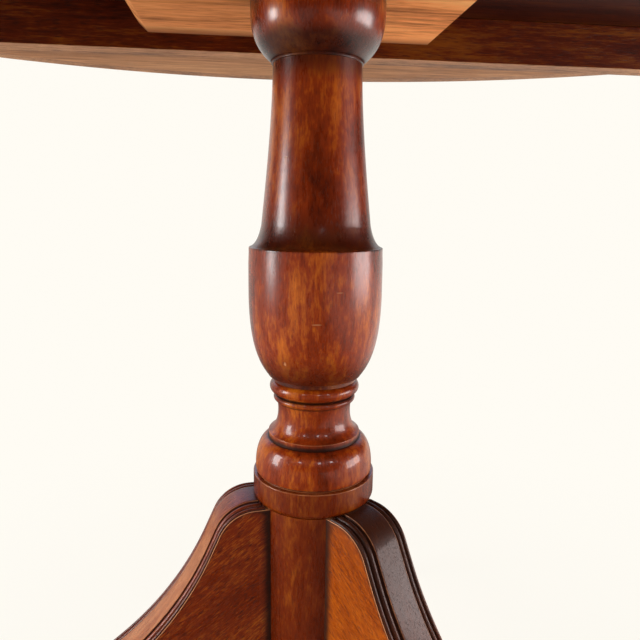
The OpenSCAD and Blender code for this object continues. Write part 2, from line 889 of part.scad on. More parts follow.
// Upper edge of a leg from toe to knee, lowered by d at right angles to it
function leg_top(d) = concat(
    arc(toe_0, toe_r + d, -90 - toe_a, -90 - mid_a, leg_steps),
    arc(sweep_0, sweep_r + d, -90 - mid_a, -90 - steep_a, leg_steps),
    arc(knee_0, knee_r - d, 90 - steep_a, 90, leg_steps)
);

toe_low = toe_1 - toe_h * [sin(toe_a), cos(toe_a)];
root_x = post_r + root_flat;
under_dx = toe_low[0] - root_x;
under_dz = root_z - knee_z - toe_low[1];
under_r = (under_dx * under_dx + under_dz * under_dz) / (2 * under_dz);
under_a = atan2(under_dx, under_r - under_dz);

function leg_outline(d) = concat(
    [[post_r - 4, root_z - knee_z]],
    arc([root_x, root_z - knee_z - under_r], under_r, 90, 90 - under_a, leg_steps),
    leg_top(d),
    [[post_r - 4, knee_r - d]]
);

module leg_slab(y0, y1, d) {
    translate([0, y1, knee_z]) rotate([90, 0, 0]) linear_extrude(y1 - y0) polygon(leg_outline(d));
}

module toe_frame() {
    translate([toe_mid[0], 0, knee_z + toe_mid[1]]) rotate([0, toe_a, 0]) children();
}

tenon_run = 20;

module leg() color(mahogany) {
    flat = leg_layers[0][0];
    difference() {
        union() {
            leg_slab(-flat, flat, 0);
            for (l = leg_layers) {
                leg_slab(l[0], l[1], l[2]);
                leg_slab(-l[1], -l[0], l[2]);
            }
        }
        cylinder(h = collar_z, r = post_r + fit);
        translate([0, 0, collar_z - fit]) cylinder(h = big, r = collar_r + glue);
        plate_screw_leg() screw_hole(plate_screw);
    }
    translate([0, 0, root_z]) linear_extrude(tail_h) tail_outline();
    w = leg_t - 2 * cap_wall;
    h = toe_h - 2 * cap_wall;
    toe_frame() translate([-2, -w / 2 + glue, -h / 2 + glue])
        cube([tenon_run + 2, w - 2 * glue, h - 2.6 - 2 * glue]);
}

module leg_left() rotate(leg_az[0]) leg();
module leg_near() rotate(leg_az[1]) leg();
module leg_far() rotate(leg_az[2]) leg();

// Steel plate under the joints of the legs

tripod_t = 3;
arm_w = 20;
arm_r = 12;
arm_end = post_r + root_flat - 4;

module plate_screw_leg() {
    for (x = [post_r + 14, arm_end - 10]) translate([x, 0, root_z - tripod_t]) children();
}

module plate_screw_post() {
    translate([post_r - 12, 0, root_z - tripod_t]) children();
}

module tripod_plate() color(steel) {
    translate([0, 0, root_z - tripod_t]) difference() {
        union() {
            cylinder(h = tripod_t, r = post_r - 1);
            for (a = leg_az) rotate(a) {
                translate([arm_r, -arm_w / 2, 0]) cube([arm_end - 2 * arm_r, arm_w, tripod_t]);
                translate([arm_end - arm_r, 0, 0]) cylinder(h = tripod_t, r = arm_r);
            }
        }
        translate([0, 0, -through]) cylinder(h = tripod_t + 2 * through, r = rod_r + 0.5);
        for (a = leg_az) rotate(a) translate([0, 0, tripod_t - root_z])
            plate_screw_leg() screw_hole(plate_screw, through);
        for (a = leg_az) rotate(a + 60) translate([0, 0, tripod_t - root_z])
            plate_screw_post() screw_hole(plate_screw, through);
    }
}

module plate_screws() color(steel) {
    for (a = leg_az) {
        rotate(a) plate_screw_leg() screw(plate_screw);
        rotate(a + 60) plate_screw_post() screw(plate_screw);
    }
}

// Tie rod with its nuts and washers

foot_z = root_z - tripod_t;
rod_washer_t = 2;
rod_washer_r = 13;
nut_r = 9.5;

module tie_rod() color(steel) {
    z0 = foot_z - rod_washer_t - nut_t - 3;
    z1 = nut_z + nut_t + 2;
    translate([0, 0, z0]) cylinder(h = z1 - z0, r = rod_r);
}

module tie_nut(z) {
    translate([0, 0, z]) difference() {
        cylinder(h = nut_t, r = nut_r, $fn = 6);
        translate([0, 0, -through]) cylinder(h = nut_t + 2 * through, r = rod_r + fit);
    }
}

module tie_nuts() color(steel) {
    tie_nut(nut_z);
    tie_nut(foot_z - rod_washer_t - nut_t);
}

module tie_washer(z) {
    translate([0, 0, z]) difference() {
        cylinder(h = rod_washer_t, r = rod_washer_r);
        translate([0, 0, -through]) cylinder(h = rod_washer_t + 2 * through, r = rod_r + 0.5);
    }
}

module tie_washers() color(steel) {
    tie_washer(nut_z - rod_washer_t);
    tie_washer(foot_z - rod_washer_t);
}

// Brass toe caps and castors

cap_lip = 1.2;
boss_r = 11;

module toe_cap() color(brass) {
    w = leg_t;
    h = toe_h;
    in_w = w - 2 * cap_wall;
    in_h = h - 2 * cap_wall;
    difference() {
        union() {
            toe_frame() translate([0.1, 0, 0]) {
                rotate([90, 0, 0]) translate([0, 0, -w / 2]) linear_extrude(w) polygon(concat(
                    [[0, h / 2 - 2.6], [0, -h / 2], [cap_l - 8, -h / 2]],
                    arc([cap_l - 8, -h / 2 + 8], 8, -60, 0, 4),
                    arc([cap_l - 12, h / 2 - 14.6], 12, 0, 90, 6)
                ));
                translate([0, -w / 2 - cap_lip, -h / 2 - cap_lip])
                    cube([3.5, w + 2 * cap_lip, h + 2 * cap_lip - 2.6]);
            }
            translate([pivot_x, 0, castor_h]) cylinder(h = boss_drop + 8, r = boss_r);
        }
        toe_frame() translate([-through, -in_w / 2, -in_h / 2])
            cube([tenon_run + through + 0.3, in_w, in_h - 2.6]);
        translate([pivot_x, 0, castor_h - through]) cylinder(h = 16.5 + through, r = stem_r + fit);
    }
}

module toe_cap_left() rotate(leg_az[0]) toe_cap();
module toe_cap_near() rotate(leg_az[1]) toe_cap();
module toe_cap_far() rotate(leg_az[2]) toe_cap();

crown_t = 3.6;
cheek_t = 3;
cheek_y = wheel_w / 2 + 0.4;
wheel_x = pivot_x - trail;
axle_pin_r = 3;

module castor_fork() color(brass) {
    crown_z = castor_h - brass_gap - crown_t;
    translate([pivot_x, 0, crown_z]) {
        cylinder(h = crown_t, r = boss_r);
        translate([-boss_r - 2, -cheek_y - cheek_t, 0])
            cube([2 * boss_r, 2 * (cheek_y + cheek_t), crown_t]);
        cylinder(h = crown_t + brass_gap + 16, r = stem_r);
    }
    difference() {
        for (s = [-1, 1]) translate([0, s * (cheek_y + cheek_t / 2) + cheek_t / 2, 0])
            rotate([90, 0, 0]) linear_extrude(cheek_t) {
                polygon([
                    [pivot_x - boss_r - 2, crown_z + 1], [pivot_x + boss_r - 2, crown_z + 1],
                    [wheel_x + 6, wheel_r], [wheel_x - 6, wheel_r], [wheel_x - 5.6, wheel_r + 8]
                ]);
                translate([wheel_x, wheel_r]) circle(6);
            }
        translate([wheel_x, 0, wheel_r]) rotate([90, 0, 0])
            cylinder(h = 4 * wheel_w, r = axle_pin_r + fit, center = true);
    }
}

module castor_axle() color(steel) {
    half = cheek_y + cheek_t;
    translate([wheel_x, 0, wheel_r]) rotate([90, 0, 0]) {
        cylinder(h = 2 * half, r = axle_pin_r, center = true);
        for (s = [-1, 1]) translate([0, 0, s * (half + 0.6)]) cylinder(h = 1.2, r = 4.5, center = true);
    }
}

module castor_wheel() color(brass) {
    translate([wheel_x, 0, wheel_r]) rotate([90, 0, 0]) difference() {
        rotate_extrude() polygon([
            [0, -wheel_w / 2], [5, -wheel_w / 2], [5.6, -wheel_w / 2 + 2.4], [wheel_r - 4, -wheel_w / 2 + 2.4],
            [wheel_r - 3, -wheel_w / 2 + 0.6], [wheel_r - 1.6, -wheel_w / 2 + 1],
            [wheel_r - 0.3, -wheel_w / 2 + 3], [wheel_r, -2.5], [wheel_r, 2.5], [wheel_r - 0.3, wheel_w / 2 - 3],
            [wheel_r - 1.6, wheel_w / 2 - 1], [wheel_r - 3, wheel_w / 2 - 0.6],
            [wheel_r - 4, wheel_w / 2 - 2.4], [5.6, wheel_w / 2 - 2.4], [5, wheel_w / 2], [0, wheel_w / 2]
        ]);
        cylinder(h = 2 * wheel_w, r = axle_pin_r + fit, center = true);
    }
}

module castor_fork_left() rotate(leg_az[0]) castor_fork();
module castor_fork_near() rotate(leg_az[1]) castor_fork();
module castor_fork_far() rotate(leg_az[2]) castor_fork();
module castor_axle_left() rotate(leg_az[0]) castor_axle();
module castor_axle_near() rotate(leg_az[1]) castor_axle();
module castor_axle_far() rotate(leg_az[2]) castor_axle();
module castor_wheel_left() rotate(leg_az[0]) castor_wheel();
module castor_wheel_near() rotate(leg_az[1]) castor_wheel();
module castor_wheel_far() rotate(leg_az[2]) castor_wheel();

top_left();
top_right();
edge_left();
edge_right();
slide_left_far();
slide_left_near();
slide_right_far();
slide_right_near();
slide_screws_left();
slide_screws_right();
rack_left();
rack_right();
rack_screws_left();
rack_screws_right();
dowels();
catch_plates();
catch_lever_far();
catch_lever_near();
keeper_studs();
pinion();
pinion_washer();
pinion_screw();
pinion_board();
board_screws();
bearer_left();
bearer_right();
bearer_screws();
rail_far();
rail_near();
stop_pegs();
block();
column_screws();
bell();
column();
neck();
collar();
post();
tie_rod();
tie_nuts();
tie_washers();
leg_left();
leg_near();
leg_far();
tripod_plate();
plate_screws();
toe_cap_left();
toe_cap_near();
toe_cap_far();
castor_fork_left();
castor_fork_near();
castor_fork_far();
castor_axle_left();
castor_axle_near();
castor_axle_far();
castor_wheel_left();
castor_wheel_near();
castor_wheel_far();
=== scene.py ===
"""Extending oval dining table on one turned pedestal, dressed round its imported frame."""
import json
import math

import bmesh
import bpy
import numpy as np
from bpy.props import FloatProperty, FloatVectorProperty, IntProperty, PointerProperty
from mathutils import Matrix, Vector


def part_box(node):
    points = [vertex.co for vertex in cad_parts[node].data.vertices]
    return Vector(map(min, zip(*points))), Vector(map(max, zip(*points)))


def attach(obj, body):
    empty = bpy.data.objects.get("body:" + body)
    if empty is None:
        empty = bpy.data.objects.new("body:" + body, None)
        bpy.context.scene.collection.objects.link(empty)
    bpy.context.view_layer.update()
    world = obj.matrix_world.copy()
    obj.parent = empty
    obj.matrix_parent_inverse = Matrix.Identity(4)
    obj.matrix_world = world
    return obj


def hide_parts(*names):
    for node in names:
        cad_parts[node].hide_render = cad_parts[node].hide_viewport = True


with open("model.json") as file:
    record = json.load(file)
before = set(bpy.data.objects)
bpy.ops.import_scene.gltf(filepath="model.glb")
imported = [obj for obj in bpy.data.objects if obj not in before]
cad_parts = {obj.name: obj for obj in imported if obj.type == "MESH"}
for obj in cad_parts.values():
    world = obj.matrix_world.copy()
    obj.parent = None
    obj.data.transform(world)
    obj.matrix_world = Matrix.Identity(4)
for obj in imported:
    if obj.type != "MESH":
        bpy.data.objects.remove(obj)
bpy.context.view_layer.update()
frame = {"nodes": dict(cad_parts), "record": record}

bl_info = {
    "name": "Extending Dining Table",
    "version": (1, 0, 0),
    "blender": (4, 5, 0),
    "location": "View3D > Sidebar > Table",
    "description": "Oval table with a turned pedestal, reeded legs and a top that slides apart",
    "category": "Object",
}

MM = 0.001
LEGS = {"left": 187.0, "near": -53.0, "far": 67.0}
HALVES = {"right": 0.0, "left": 180.0}
BODY_OF = {n: body for body, nodes in frame["record"]["behaviour"]["bodies"].items() for n in nodes}
SLOT_OF = {part["node"]: part["material_slot"] for part in frame["record"]["subparts"]}


def low(node):
    """Lowest corner of a CAD node in millimetres."""
    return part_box(node)[0] / MM


def high(node):
    """Highest corner of a CAD node in millimetres."""
    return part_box(node)[1] / MM


# The table's sizes are in millimetres, and the stage's in metres

# Spigots, sockets and the tie rod's bore that join the turnings
SPIGOT_L = 14.0
SPIGOT_R = 14.0
BORE_R = 5.5
SOCKET_L = 14.5
SOCKET_R = SPIGOT_R + 0.1
# Heights, all read from the frame
BLOCK_Z = low("block").z
BELL_Z = low("bell").z + SPIGOT_L
URN_Z = low("column").z + SPIGOT_L
NECK_Z = high("collar").z
COLLAR_Z = low("collar").z
ROOT_Z = low("post").z
KNEE_TOP = high("leg_left").z
UNDER_Z = low("edge_left").z
TOP_Z = high("top_left").z
# Height of the rim that ends the urn
SHOULDER_Z = URN_Z + 101.0
# Radii on which a leg's end sits, a hair outside the post and the collar
POST_SEAT = high("post").x + 0.05
COLLAR_SEAT = high("collar").x + 0.15
# Depth of a leg's side arris under its band
DEEP = 3.4
# Stations of a lipping for each degree of its arc
LIP_STEPS = 1.4
# Points of a CAD mesh nearer than this become one, and faces nearer to flat than this angle join
MERGED = 0.002
FLAT = math.radians(0.4)
# Edges sharper than these stay crisp on a new piece and are rounded on the copy of a CAD node
CRISP = math.radians(38.0)
ROUNDED = math.radians(40.0)


# Settings that a user would change

def length(name, description, default):
    """A length property whose default is given in millimetres."""
    return FloatProperty(name=name, description=description, default=default * MM, unit="LENGTH",
                         precision=5, min=0.0)


def slope(name, description, default):
    """An angle property whose default is given in degrees."""
    return FloatProperty(name=name, description=description, default=math.radians(default),
                         subtype="ANGLE", unit="ROTATION")


def colour(name, description, default):
    """A colour property."""
    return FloatVectorProperty(name=name, description=description, default=default, subtype="COLOR",
                               size=3, min=0.0, max=1.0)


class TurningSizes(bpy.types.PropertyGroup):
    bell: length("Bell", "Radius of the bell under the block", high("bell").x)
    shaft: length("Shaft", "Radius of the shaft where it enters the bell", 31.4)
    urn: length("Urn", "Radius of the urn", 50.0)
    bead: length("Bead", "Radius of the bead under the urn", 34.5)
    neck: length("Neck", "Radius of the hollow neck", 28.4)
    torus: length("Torus", "Radius of the torus above the collar", high("neck").x)
    collar: length("Collar", "Radius of the collar", high("collar").x)
    post: length("Post", "Radius of the post that holds the legs", high("post").x)
    facets: IntProperty(name="Facets", description="Facets round each turning", default=168, min=24)


class LegSizes(bpy.types.PropertyGroup):
    thick: length("Thickness", "Thickness of a leg", 46.5)
    knee_x: length("Knee place", "Distance of the knee's centre from the column's axis", 50.0)
    knee_r: length("Knee", "Radius of the knee", 32.0)
    steep: slope("Steep slope", "Slope of the straight stretch under the knee", 65.3)
    steep_l: length("Straight", "Straight stretch under the knee", 19.0)
    sweep_r: length("Upper sweep", "Radius of the upper sweep", 231.0)
    middle: slope("Middle slope", "Slope where the two sweeps meet", 38.0)
    toe_r: length("Lower sweep", "Radius of the lower sweep", 700.0)
    toe: slope("Toe slope", "Slope of the toe", 21.5)
    toe_h: length("Toe depth", "Depth of the leg at its toe", 34.0)
    root: length("Root", "Level stretch under the leg's root", 50.0)
    border: length("Border", "Width of the reeded border on each side of the flat band", 11.6)
    inner_reed: length("Inner reed", "Radius of the reed beside the flat band", 2.2)
    outer_reed: length("Outer reed", "Radius of the reed beside the leg's face", 1.6)
    quirk: length("Quirk", "Depth of the grooves beside the reeds", 3.6)


class TopSizes(bpy.types.PropertyGroup):
    side_r: length("Side arc", "Radius of the long sides of the oval", 972.0)
    end_r: length("End arc", "Radius of the ends of the oval", 470.719)
    lip: length("Lipping", "Width of the solid lipping", 30.0)
    reed_r: length("Edge reed", "Radius of a reed on the lipping", 3.267)
    band: length("Crossband", "Width of the crossbanded border of the top", 55.0)


class FinishColours(bpy.types.PropertyGroup):
    dark: colour("Dark tone", "Darkest streaks of the mahogany", (0.052, 0.0048, 0.0006))
    middle: colour("Middle tone", "Middle tone of the mahogany", (0.215, 0.0245, 0.0010))
    light: colour("Light tone", "Lightest figure of the mahogany", (0.500, 0.128, 0.0060))
    # The grime colour darkens the hollows, as old polish and dust and as painted shade
    grime: colour("Grime", "Old polish and dust in the grooves", (0.016, 0.0040, 0.0016))
    # The rubbed colour lightens the arrises, as bare wood and as a painted highlight, and fills the
    # scratches
    rubbed_and_lit: colour("Rubbed wood", "Bare wood where an arris is rubbed", (0.520, 0.215, 0.090))
    brass: colour("Brass", "Lacquered brass", (0.640, 0.420, 0.150))
    steel: colour("Steel", "Zinc plated steel", (0.480, 0.480, 0.490))


class StageLevels(bpy.types.PropertyGroup):
    key: FloatProperty(name="Left window", description="Power of the window on the left", default=235.0,
                       unit="POWER")
    fill: FloatProperty(name="Right window", description="Power of the window on the right",
                        default=78.0, unit="POWER")
    pane: FloatProperty(name="Panes", description="Power of each small pane behind the camera",
                        default=5.0, unit="POWER")
    room: FloatProperty(name="Room", description="Strength of the light of the room", default=0.28)
    paper: colour("Paper", "Colour of the floor and of what lies behind the table", (1.0, 0.972, 0.903))


# Curves and sections as arrays, in millimetres

def bow(start, leave, arrive, end, count=32):
    """Cubic curve: s^3 start + 3 s^2 t leave + 3 s t^2 arrive + t^3 end, with s = 1 - t."""
    t = np.linspace(0.0, 1.0, count)[:, None]
    s = 1.0 - t
    start, leave, arrive, end = (np.array(p, float) for p in (start, leave, arrive, end))
    return s ** 3 * start + 3 * s * s * t * leave + 3 * s * t * t * arrive + t ** 3 * end


def arc(centre, radius, first, last, count=12):
    """Points at centre + radius (cos a, sin a), with a running from first to last in degrees."""
    a = np.radians(np.linspace(first, last, count))
    return np.array(centre, float) + radius * np.column_stack([np.cos(a), np.sin(a)])


def edge_marks(section, reach=0.8, wide=0.0):
    """Wear and grime, from 0 to 1, of the points of a closed section; the wear also paints a highlight
    on the arrises, and the grime also paints shade in the hollows.

    The turn at a point is the angle between its two edges, positive where the section is convex. Wear
    is the sum of the convex turns nearby, each times exp(-(distance / reach)^2), and grime is the same
    sum over the hollow turns with 1.8 times the reach, or wide times the sum with 6 times the reach
    where that is more. A right angle gives 1.
    """
    ahead = np.roll(section, -1, axis=0) - section
    behind = np.roll(ahead, 1, axis=0)
    cross = behind[:, 0] * ahead[:, 1] - behind[:, 1] * ahead[:, 0]
    turn = np.arctan2(cross, (behind * ahead).sum(axis=1))
    turn *= np.sign(turn.sum())
    step = np.linalg.norm(ahead, axis=1)
    place = np.cumsum(step) - step
    apart = np.abs(place[:, None] - place[None, :])
    apart = np.minimum(apart, step.sum() - apart)
    wear = np.exp(-(apart / reach) ** 2) @ np.maximum(turn, 0.0)
    hollow = np.maximum(-turn, 0.0)
    grime = np.exp(-(apart / (1.8 * reach)) ** 2) @ hollow
    grime = np.maximum(grime, wide * np.exp(-(apart / (6.0 * reach)) ** 2) @ hollow)
    return np.clip(wear / (math.pi / 2), 0.0, 1.0), np.clip(grime / (math.pi / 2), 0.0, 1.0)


def grid_faces(rows, columns, closed_rows=False):
    """Quads (i, j), (i, j + 1), (i + 1, j + 1), (i + 1, j) of a grid whose columns close in a ring."""
    i, j = np.meshgrid(np.arange(rows if closed_rows else rows - 1), np.arange(columns), indexing="ij")
    below = (i + 1) % rows
    beside = (j + 1) % columns
    corners = [i * columns + j, i * columns + beside, below * columns + beside, below * columns + j]
    return np.stack(corners, axis=-1).reshape(-1, 4)


def mirrored(count):
    """Order and side (-1 or 1) in which a half section, given from crown to root, makes a loop."""
    order = np.concatenate([np.arange(count), np.arange(count - 2, 0, -1)])
    side = np.concatenate([-np.ones(count), np.ones(count - 2)])
    return order, side


def cap_faces(stations, count):
    """Faces that close both ends of a mirrored loop, strip by strip from one side to the other."""
    ring = 2 * count - 2
    k = np.arange(count - 1)
    near, far = (ring - k) % ring, (ring - k - 1) % ring
    quads = np.stack([k, k + 1, far, near], axis=-1)
    faces = [[v for n, v in enumerate(q) if v not in q[:n]] for q in quads.tolist()]
    last = (stations - 1) * ring
    return [f[::-1] for f in faces] + [[v + last for v in f] for f in faces]


def new_piece(name, points, faces, material, marks, grain=None):
    """A mesh object from points in millimetres, with wear and a painted highlight, grime and painted
    shade, and grain as point attributes.
    """
    mesh = bpy.data.meshes.new(name)
    mesh.from_pydata((np.asarray(points).reshape(-1, 3) * MM).tolist(), [], faces)
    for label, values in zip(("wear", "grime"), marks):
        layer = mesh.attributes.new(label, "FLOAT", "POINT")
        layer.data.foreach_set("value", np.ascontiguousarray(values, np.float32).ravel())
    if grain is not None:
        layer = mesh.attributes.new("grain", "FLOAT_VECTOR", "POINT")
        layer.data.foreach_set("vector", np.ascontiguousarray(grain * MM, np.float32).ravel())
    mesh.materials.append(material)
    mesh.validate()
    mesh.shade_smooth()
    mesh.set_sharp_from_angle(angle=CRISP)
    piece = bpy.data.objects.new(name, mesh)
    bpy.context.scene.collection.objects.link(piece)
    return piece


def stands_for(piece, node):
    """The piece rides on the node's body and hides the node."""
    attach(piece, BODY_OF[node])
    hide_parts(node)


def eased_copy(node, material, width):
    """A copy of a CAD node with its triangles merged into whole faces and its arrises rounded."""
    source = bmesh.new()
    source.from_mesh(frame["nodes"][node].data)
    bmesh.ops.remove_doubles(source, verts=source.verts, dist=MERGED * MM)
    bmesh.ops.dissolve_limit(source, angle_limit=FLAT, verts=source.verts, edges=source.edges)
    mesh = bpy.data.meshes.new(node + "_eased")
    source.to_mesh(mesh)
    source.free()
    for layer in [a.name for a in mesh.attributes if a.name.startswith("custom_normal")]:
        mesh.attributes.remove(mesh.attributes[layer])
    mesh.materials.clear()
    mesh.materials.append(material)
    mesh.shade_smooth()
    piece = bpy.data.objects.new(node + "_eased", mesh)
    bpy.context.scene.collection.objects.link(piece)
    rounding = piece.modifiers.new("eased arrises", "BEVEL")
    rounding.width = width * MM
    rounding.segments = 2
    rounding.limit_method = "ANGLE"
    rounding.angle_limit = ROUNDED
    rounding.harden_normals = True
    stands_for(piece, node)


def dress(node, material):
    """Gives a CAD node that stays as it is its material."""
    holder = frame["nodes"][node]
    if not holder.material_slots:
        holder.data.materials.append(material)
    for slot in holder.material_slots:
        slot.material = material


# Materials

# Dark, middle and light tone of mahogany that was left sawn
SAWN = ((0.13, 0.050, 0.018), (0.46, 0.208, 0.086), (0.69, 0.370, 0.180))


class Value:
    """A number on a shader socket: an expression written with it adds its Math nodes."""

    def __init__(self, wiring, socket):
        self.wiring = wiring
        self.socket = socket

    def maths(self, operation, first, second):
        """A Math node on two values."""
        return self.wiring.node("ShaderNodeMath", {"operation": operation}, {0: first, 1: second})

    def other(self, name):
        """Another output of the node that this value comes from."""
        return Value(self.wiring, self.socket.node.outputs[name])

    def __add__(self, value):
        return self.maths("ADD", self, value)

    def __radd__(self, value):
        return self.maths("ADD", value, self)

    def __sub__(self, value):
        return self.maths("SUBTRACT", self, value)

    def __rsub__(self, value):
        return self.maths("SUBTRACT", value, self)

    def __mul__(self, value):
        return self.maths("MULTIPLY", self, value)

    def __rmul__(self, value):
        return self.maths("MULTIPLY", value, self)

    def __pow__(self, value):
        return self.maths("POWER", self, value)

    def __rpow__(self, value):
        return self.maths("POWER", value, self)

    def __gt__(self, value):
        return self.maths("GREATER_THAN", self, value)

    def __lt__(self, value):
        return self.maths("LESS_THAN", self, value)

    def __abs__(self):
        return self.maths("ABSOLUTE", self, 0.0)


class Wiring:
    """A node tree that is being wired."""

    def __init__(self, owner):
        owner.use_nodes = True
        self.owner = owner
        self.tree = owner.node_tree
        self.tree.nodes.clear()

    def node(self, kind, settings=None, values=None, out=0):
        """Adds a node, its settings first and then its sockets' values or links, and gives an output."""
        made = self.tree.nodes.new(kind)
        for name, setting in (settings or {}).items():
            if name == "stops":
                self.set_stops(made.color_ramp, setting)
            else:
                setattr(made, name, setting)
        for key, value in (values or {}).items():
            if isinstance(value, Value):
                self.tree.links.new(value.socket, made.inputs[key])
            else:
                made.inputs[key].default_value = value
        return Value(self, made.outputs[out]) if made.outputs else made

    @staticmethod
    def set_stops(ramp, stops):
        """Gives a colour ramp its stops, each a place and a shade."""
        for place, _ in stops[1:-1]:
            ramp.elements.new(place)
        for element, (place, shade) in zip(ramp.elements, stops):
            element.position = place
            element.color = (*shade[:3], 1.0)

    def vector(self, operation, *values, out=0):
        """A Vector Math node on these values."""
        return self.node("ShaderNodeVectorMath", {"operation": operation}, dict(enumerate(values)), out)

    def split(self, place):
        """X of a place; Y and Z are its other outputs."""
        return self.node("ShaderNodeSeparateXYZ", values={0: place})

    def bump(self, height, depth):
        """The normal of a relief in which a height of 1 stands this many millimetres out."""
        return self.node("ShaderNodeBump",
                         values={"Strength": 1.0, "Distance": depth * MM, "Height": height})

    def noise(self, place, stretch, detail=2.0, rough=0.5, out=0):
        """Noise from 0 to 1 at place times stretch, which is in repeats per millimetre."""
        at = self.vector("MULTIPLY", place, stretch)
        return self.node("ShaderNodeTexNoise", {"noise_dimensions": "3D"},
                         {"Vector": at, "Scale": 1.0, "Detail": detail, "Roughness": rough}, out)

    def between(self, value, first, last):
        """0 below first, 1 above last and a smooth step between them."""
        return self.node("ShaderNodeMapRange", {"interpolation_type": "SMOOTHSTEP"},
                         {0: value, 1: first, 2: last})

    def blend(self, factor, first, second):
        """Colour mix of first and second."""
        return self.node("ShaderNodeMix", {"data_type": "RGBA"}, {0: factor, 6: first, 7: second}, 2)

    def marks(self, label):
        """A point attribute of the piece, 0 where the piece has none."""
        return self.node("ShaderNodeAttribute", {"attribute_name": label}, out=2)

    def place(self, turn=None, shift=(0.0, 0.0, 0.0), attribute=None, drawn=1.0):
        """Object coordinates, or a vector attribute, in millimetres and turned so that X is the grain.

        A drawn below 1 lengthens the figure along the object's own X.
        """
        if attribute:
            source = self.node("ShaderNodeAttribute", {"attribute_name": attribute}, out=1)
        else:
            source = self.node("ShaderNodeTexCoord", out=3)
        angles = tuple((turn or Matrix.Identity(3)).to_euler("XYZ"))
        return self.node("ShaderNodeMapping", {"vector_type": "POINT"},
                         {"Vector": source, "Location": shift, "Rotation": angles,
                          "Scale": (drawn / MM, 1 / MM, 1 / MM)})

    def finish(self, sockets):
        """A Principled surface with these sockets."""
        shader = self.node("ShaderNodeBsdfPrincipled", values=sockets)
        self.node("ShaderNodeOutputMaterial", values={"Surface": shader})
        return self.owner


def opaque(shade):
    """A colour property as four numbers."""
    return (*shade[:3], 1.0)


def toned(shade, gain):
    """A shade made lighter or darker."""
    return tuple(min(1.0, max(0.0, c * gain)) for c in shade[:3])


def mixed(first, second, share):
    """A shade between two others."""
    return tuple(a + (b - a) * share for a, b in zip(first[:3], second[:3]))


def mahogany(wiring, grain, figure=1.0, fine=1.0):
    """Tone, pores, roughness change and relief of mahogany whose grain runs along X of the place.

    Soft clouds give the figure, and the growth layers, which lie round a pith beside the piece, are cut
    in long tongues. Fine fibres and short dark pores run along the grain.
    """
    sway = wiring.noise(grain, (0.006, 0.016, 0.016), 2.0, 0.5, out=1)
    sway = wiring.vector("MULTIPLY_ADD", sway, (0.0, 12.0, 12.0), grain)
    layer = wiring.vector("MULTIPLY_ADD", sway, (0.0, 1.0, 1.0), (0.0, 85.0, 30.0))
    radius = wiring.vector("LENGTH", layer, out=1)
    along = wiring.split(sway)
    rings = wiring.node("ShaderNodeCombineXYZ", values={0: radius * 0.16, 1: along * 0.004})
    bands = wiring.noise(rings, (1.0, 1.0, 1.0), 2.0, 0.6)
    cloud = wiring.noise(sway, (0.014, 0.040, 0.040), 1.0, 0.5)
    streaks = wiring.noise(sway, (0.045, 0.22, 0.22), 3.0, 0.65)
    fibres = wiring.noise(grain, (0.14, 0.80, 0.80), 3.0, 0.8)
    pores = wiring.between(wiring.noise(grain, (0.19, 1.05, 1.05), 1.0, 0.5), 0.58, 0.72) * fine
    mottle = wiring.noise(grain, (0.09, 0.20, 0.20), 2.0, 0.6)
    tone = (cloud - 0.5) * (0.80 * figure) + (bands - 0.5) * (0.24 * figure)
    tone = tone + (mottle - 0.5) * (0.46 * figure) + (streaks - 0.5) * (0.46 * figure)
    tone = tone + (fibres - 0.5) * (0.95 * fine) + 0.5
    rough = (streaks - 0.5) * 0.10 + pores * 0.12 + (cloud - 0.5) * 0.08
    relief = (fibres - 0.5) * 0.60 + (streaks - 0.5) * 0.4 - pores * 0.80
    return tone, pores, rough, relief


def stained(wiring, tone, pores, tones):
    """The colour of a tone between the dark, the middle and the light shade, with dark pores."""
    dark, middle, light = tones
    stops = [(0.18, dark), (0.36, mixed(dark, middle, 0.55)), (0.52, middle),
             (0.68, mixed(middle, light, 0.55)), (0.86, light)]
    shade = wiring.node("ShaderNodeValToRGB", {"stops": stops}, {0: tone})
    return wiring.blend(pores * 0.65, shade, opaque(toned(dark, 0.7)))


def aged_and_painted_light(wiring, shade, colours, grain, wear=0.5, grime=0.92):
    """The shade darkened in the grooves by old polish and painted shade, and lightened on the arrises
    by rubbed wood and a painted highlight.
    """
    patch = wiring.noise(grain, (0.035, 0.12, 0.12), 3.0, 0.6)
    dirt_and_shade = wiring.between(wiring.marks("grime") + (patch - 0.5) * 0.30, 0.08, 0.70) * grime
    rubbed_and_lit = wiring.between(wiring.marks("wear") + (patch - 0.5) * 0.6, 0.38, 0.95) * wear
    shade = wiring.blend(dirt_and_shade, shade, opaque(colours.grime))
    return wiring.blend(rubbed_and_lit, shade, opaque(colours.rubbed_and_lit))


def scratches(wiring, nicks):
    """1 inside a few short scratches, each an ellipsoid given by its middle and its half sizes."""
    place = wiring.place()
    found = 0.0
    for middle, half in nicks:
        share = wiring.vector("DIVIDE", wiring.vector("SUBTRACT", place, middle), half)
        reach = wiring.vector("LENGTH", share, out=1)
        found = wiring.between(reach, 1.15, 0.75) + found
    return found


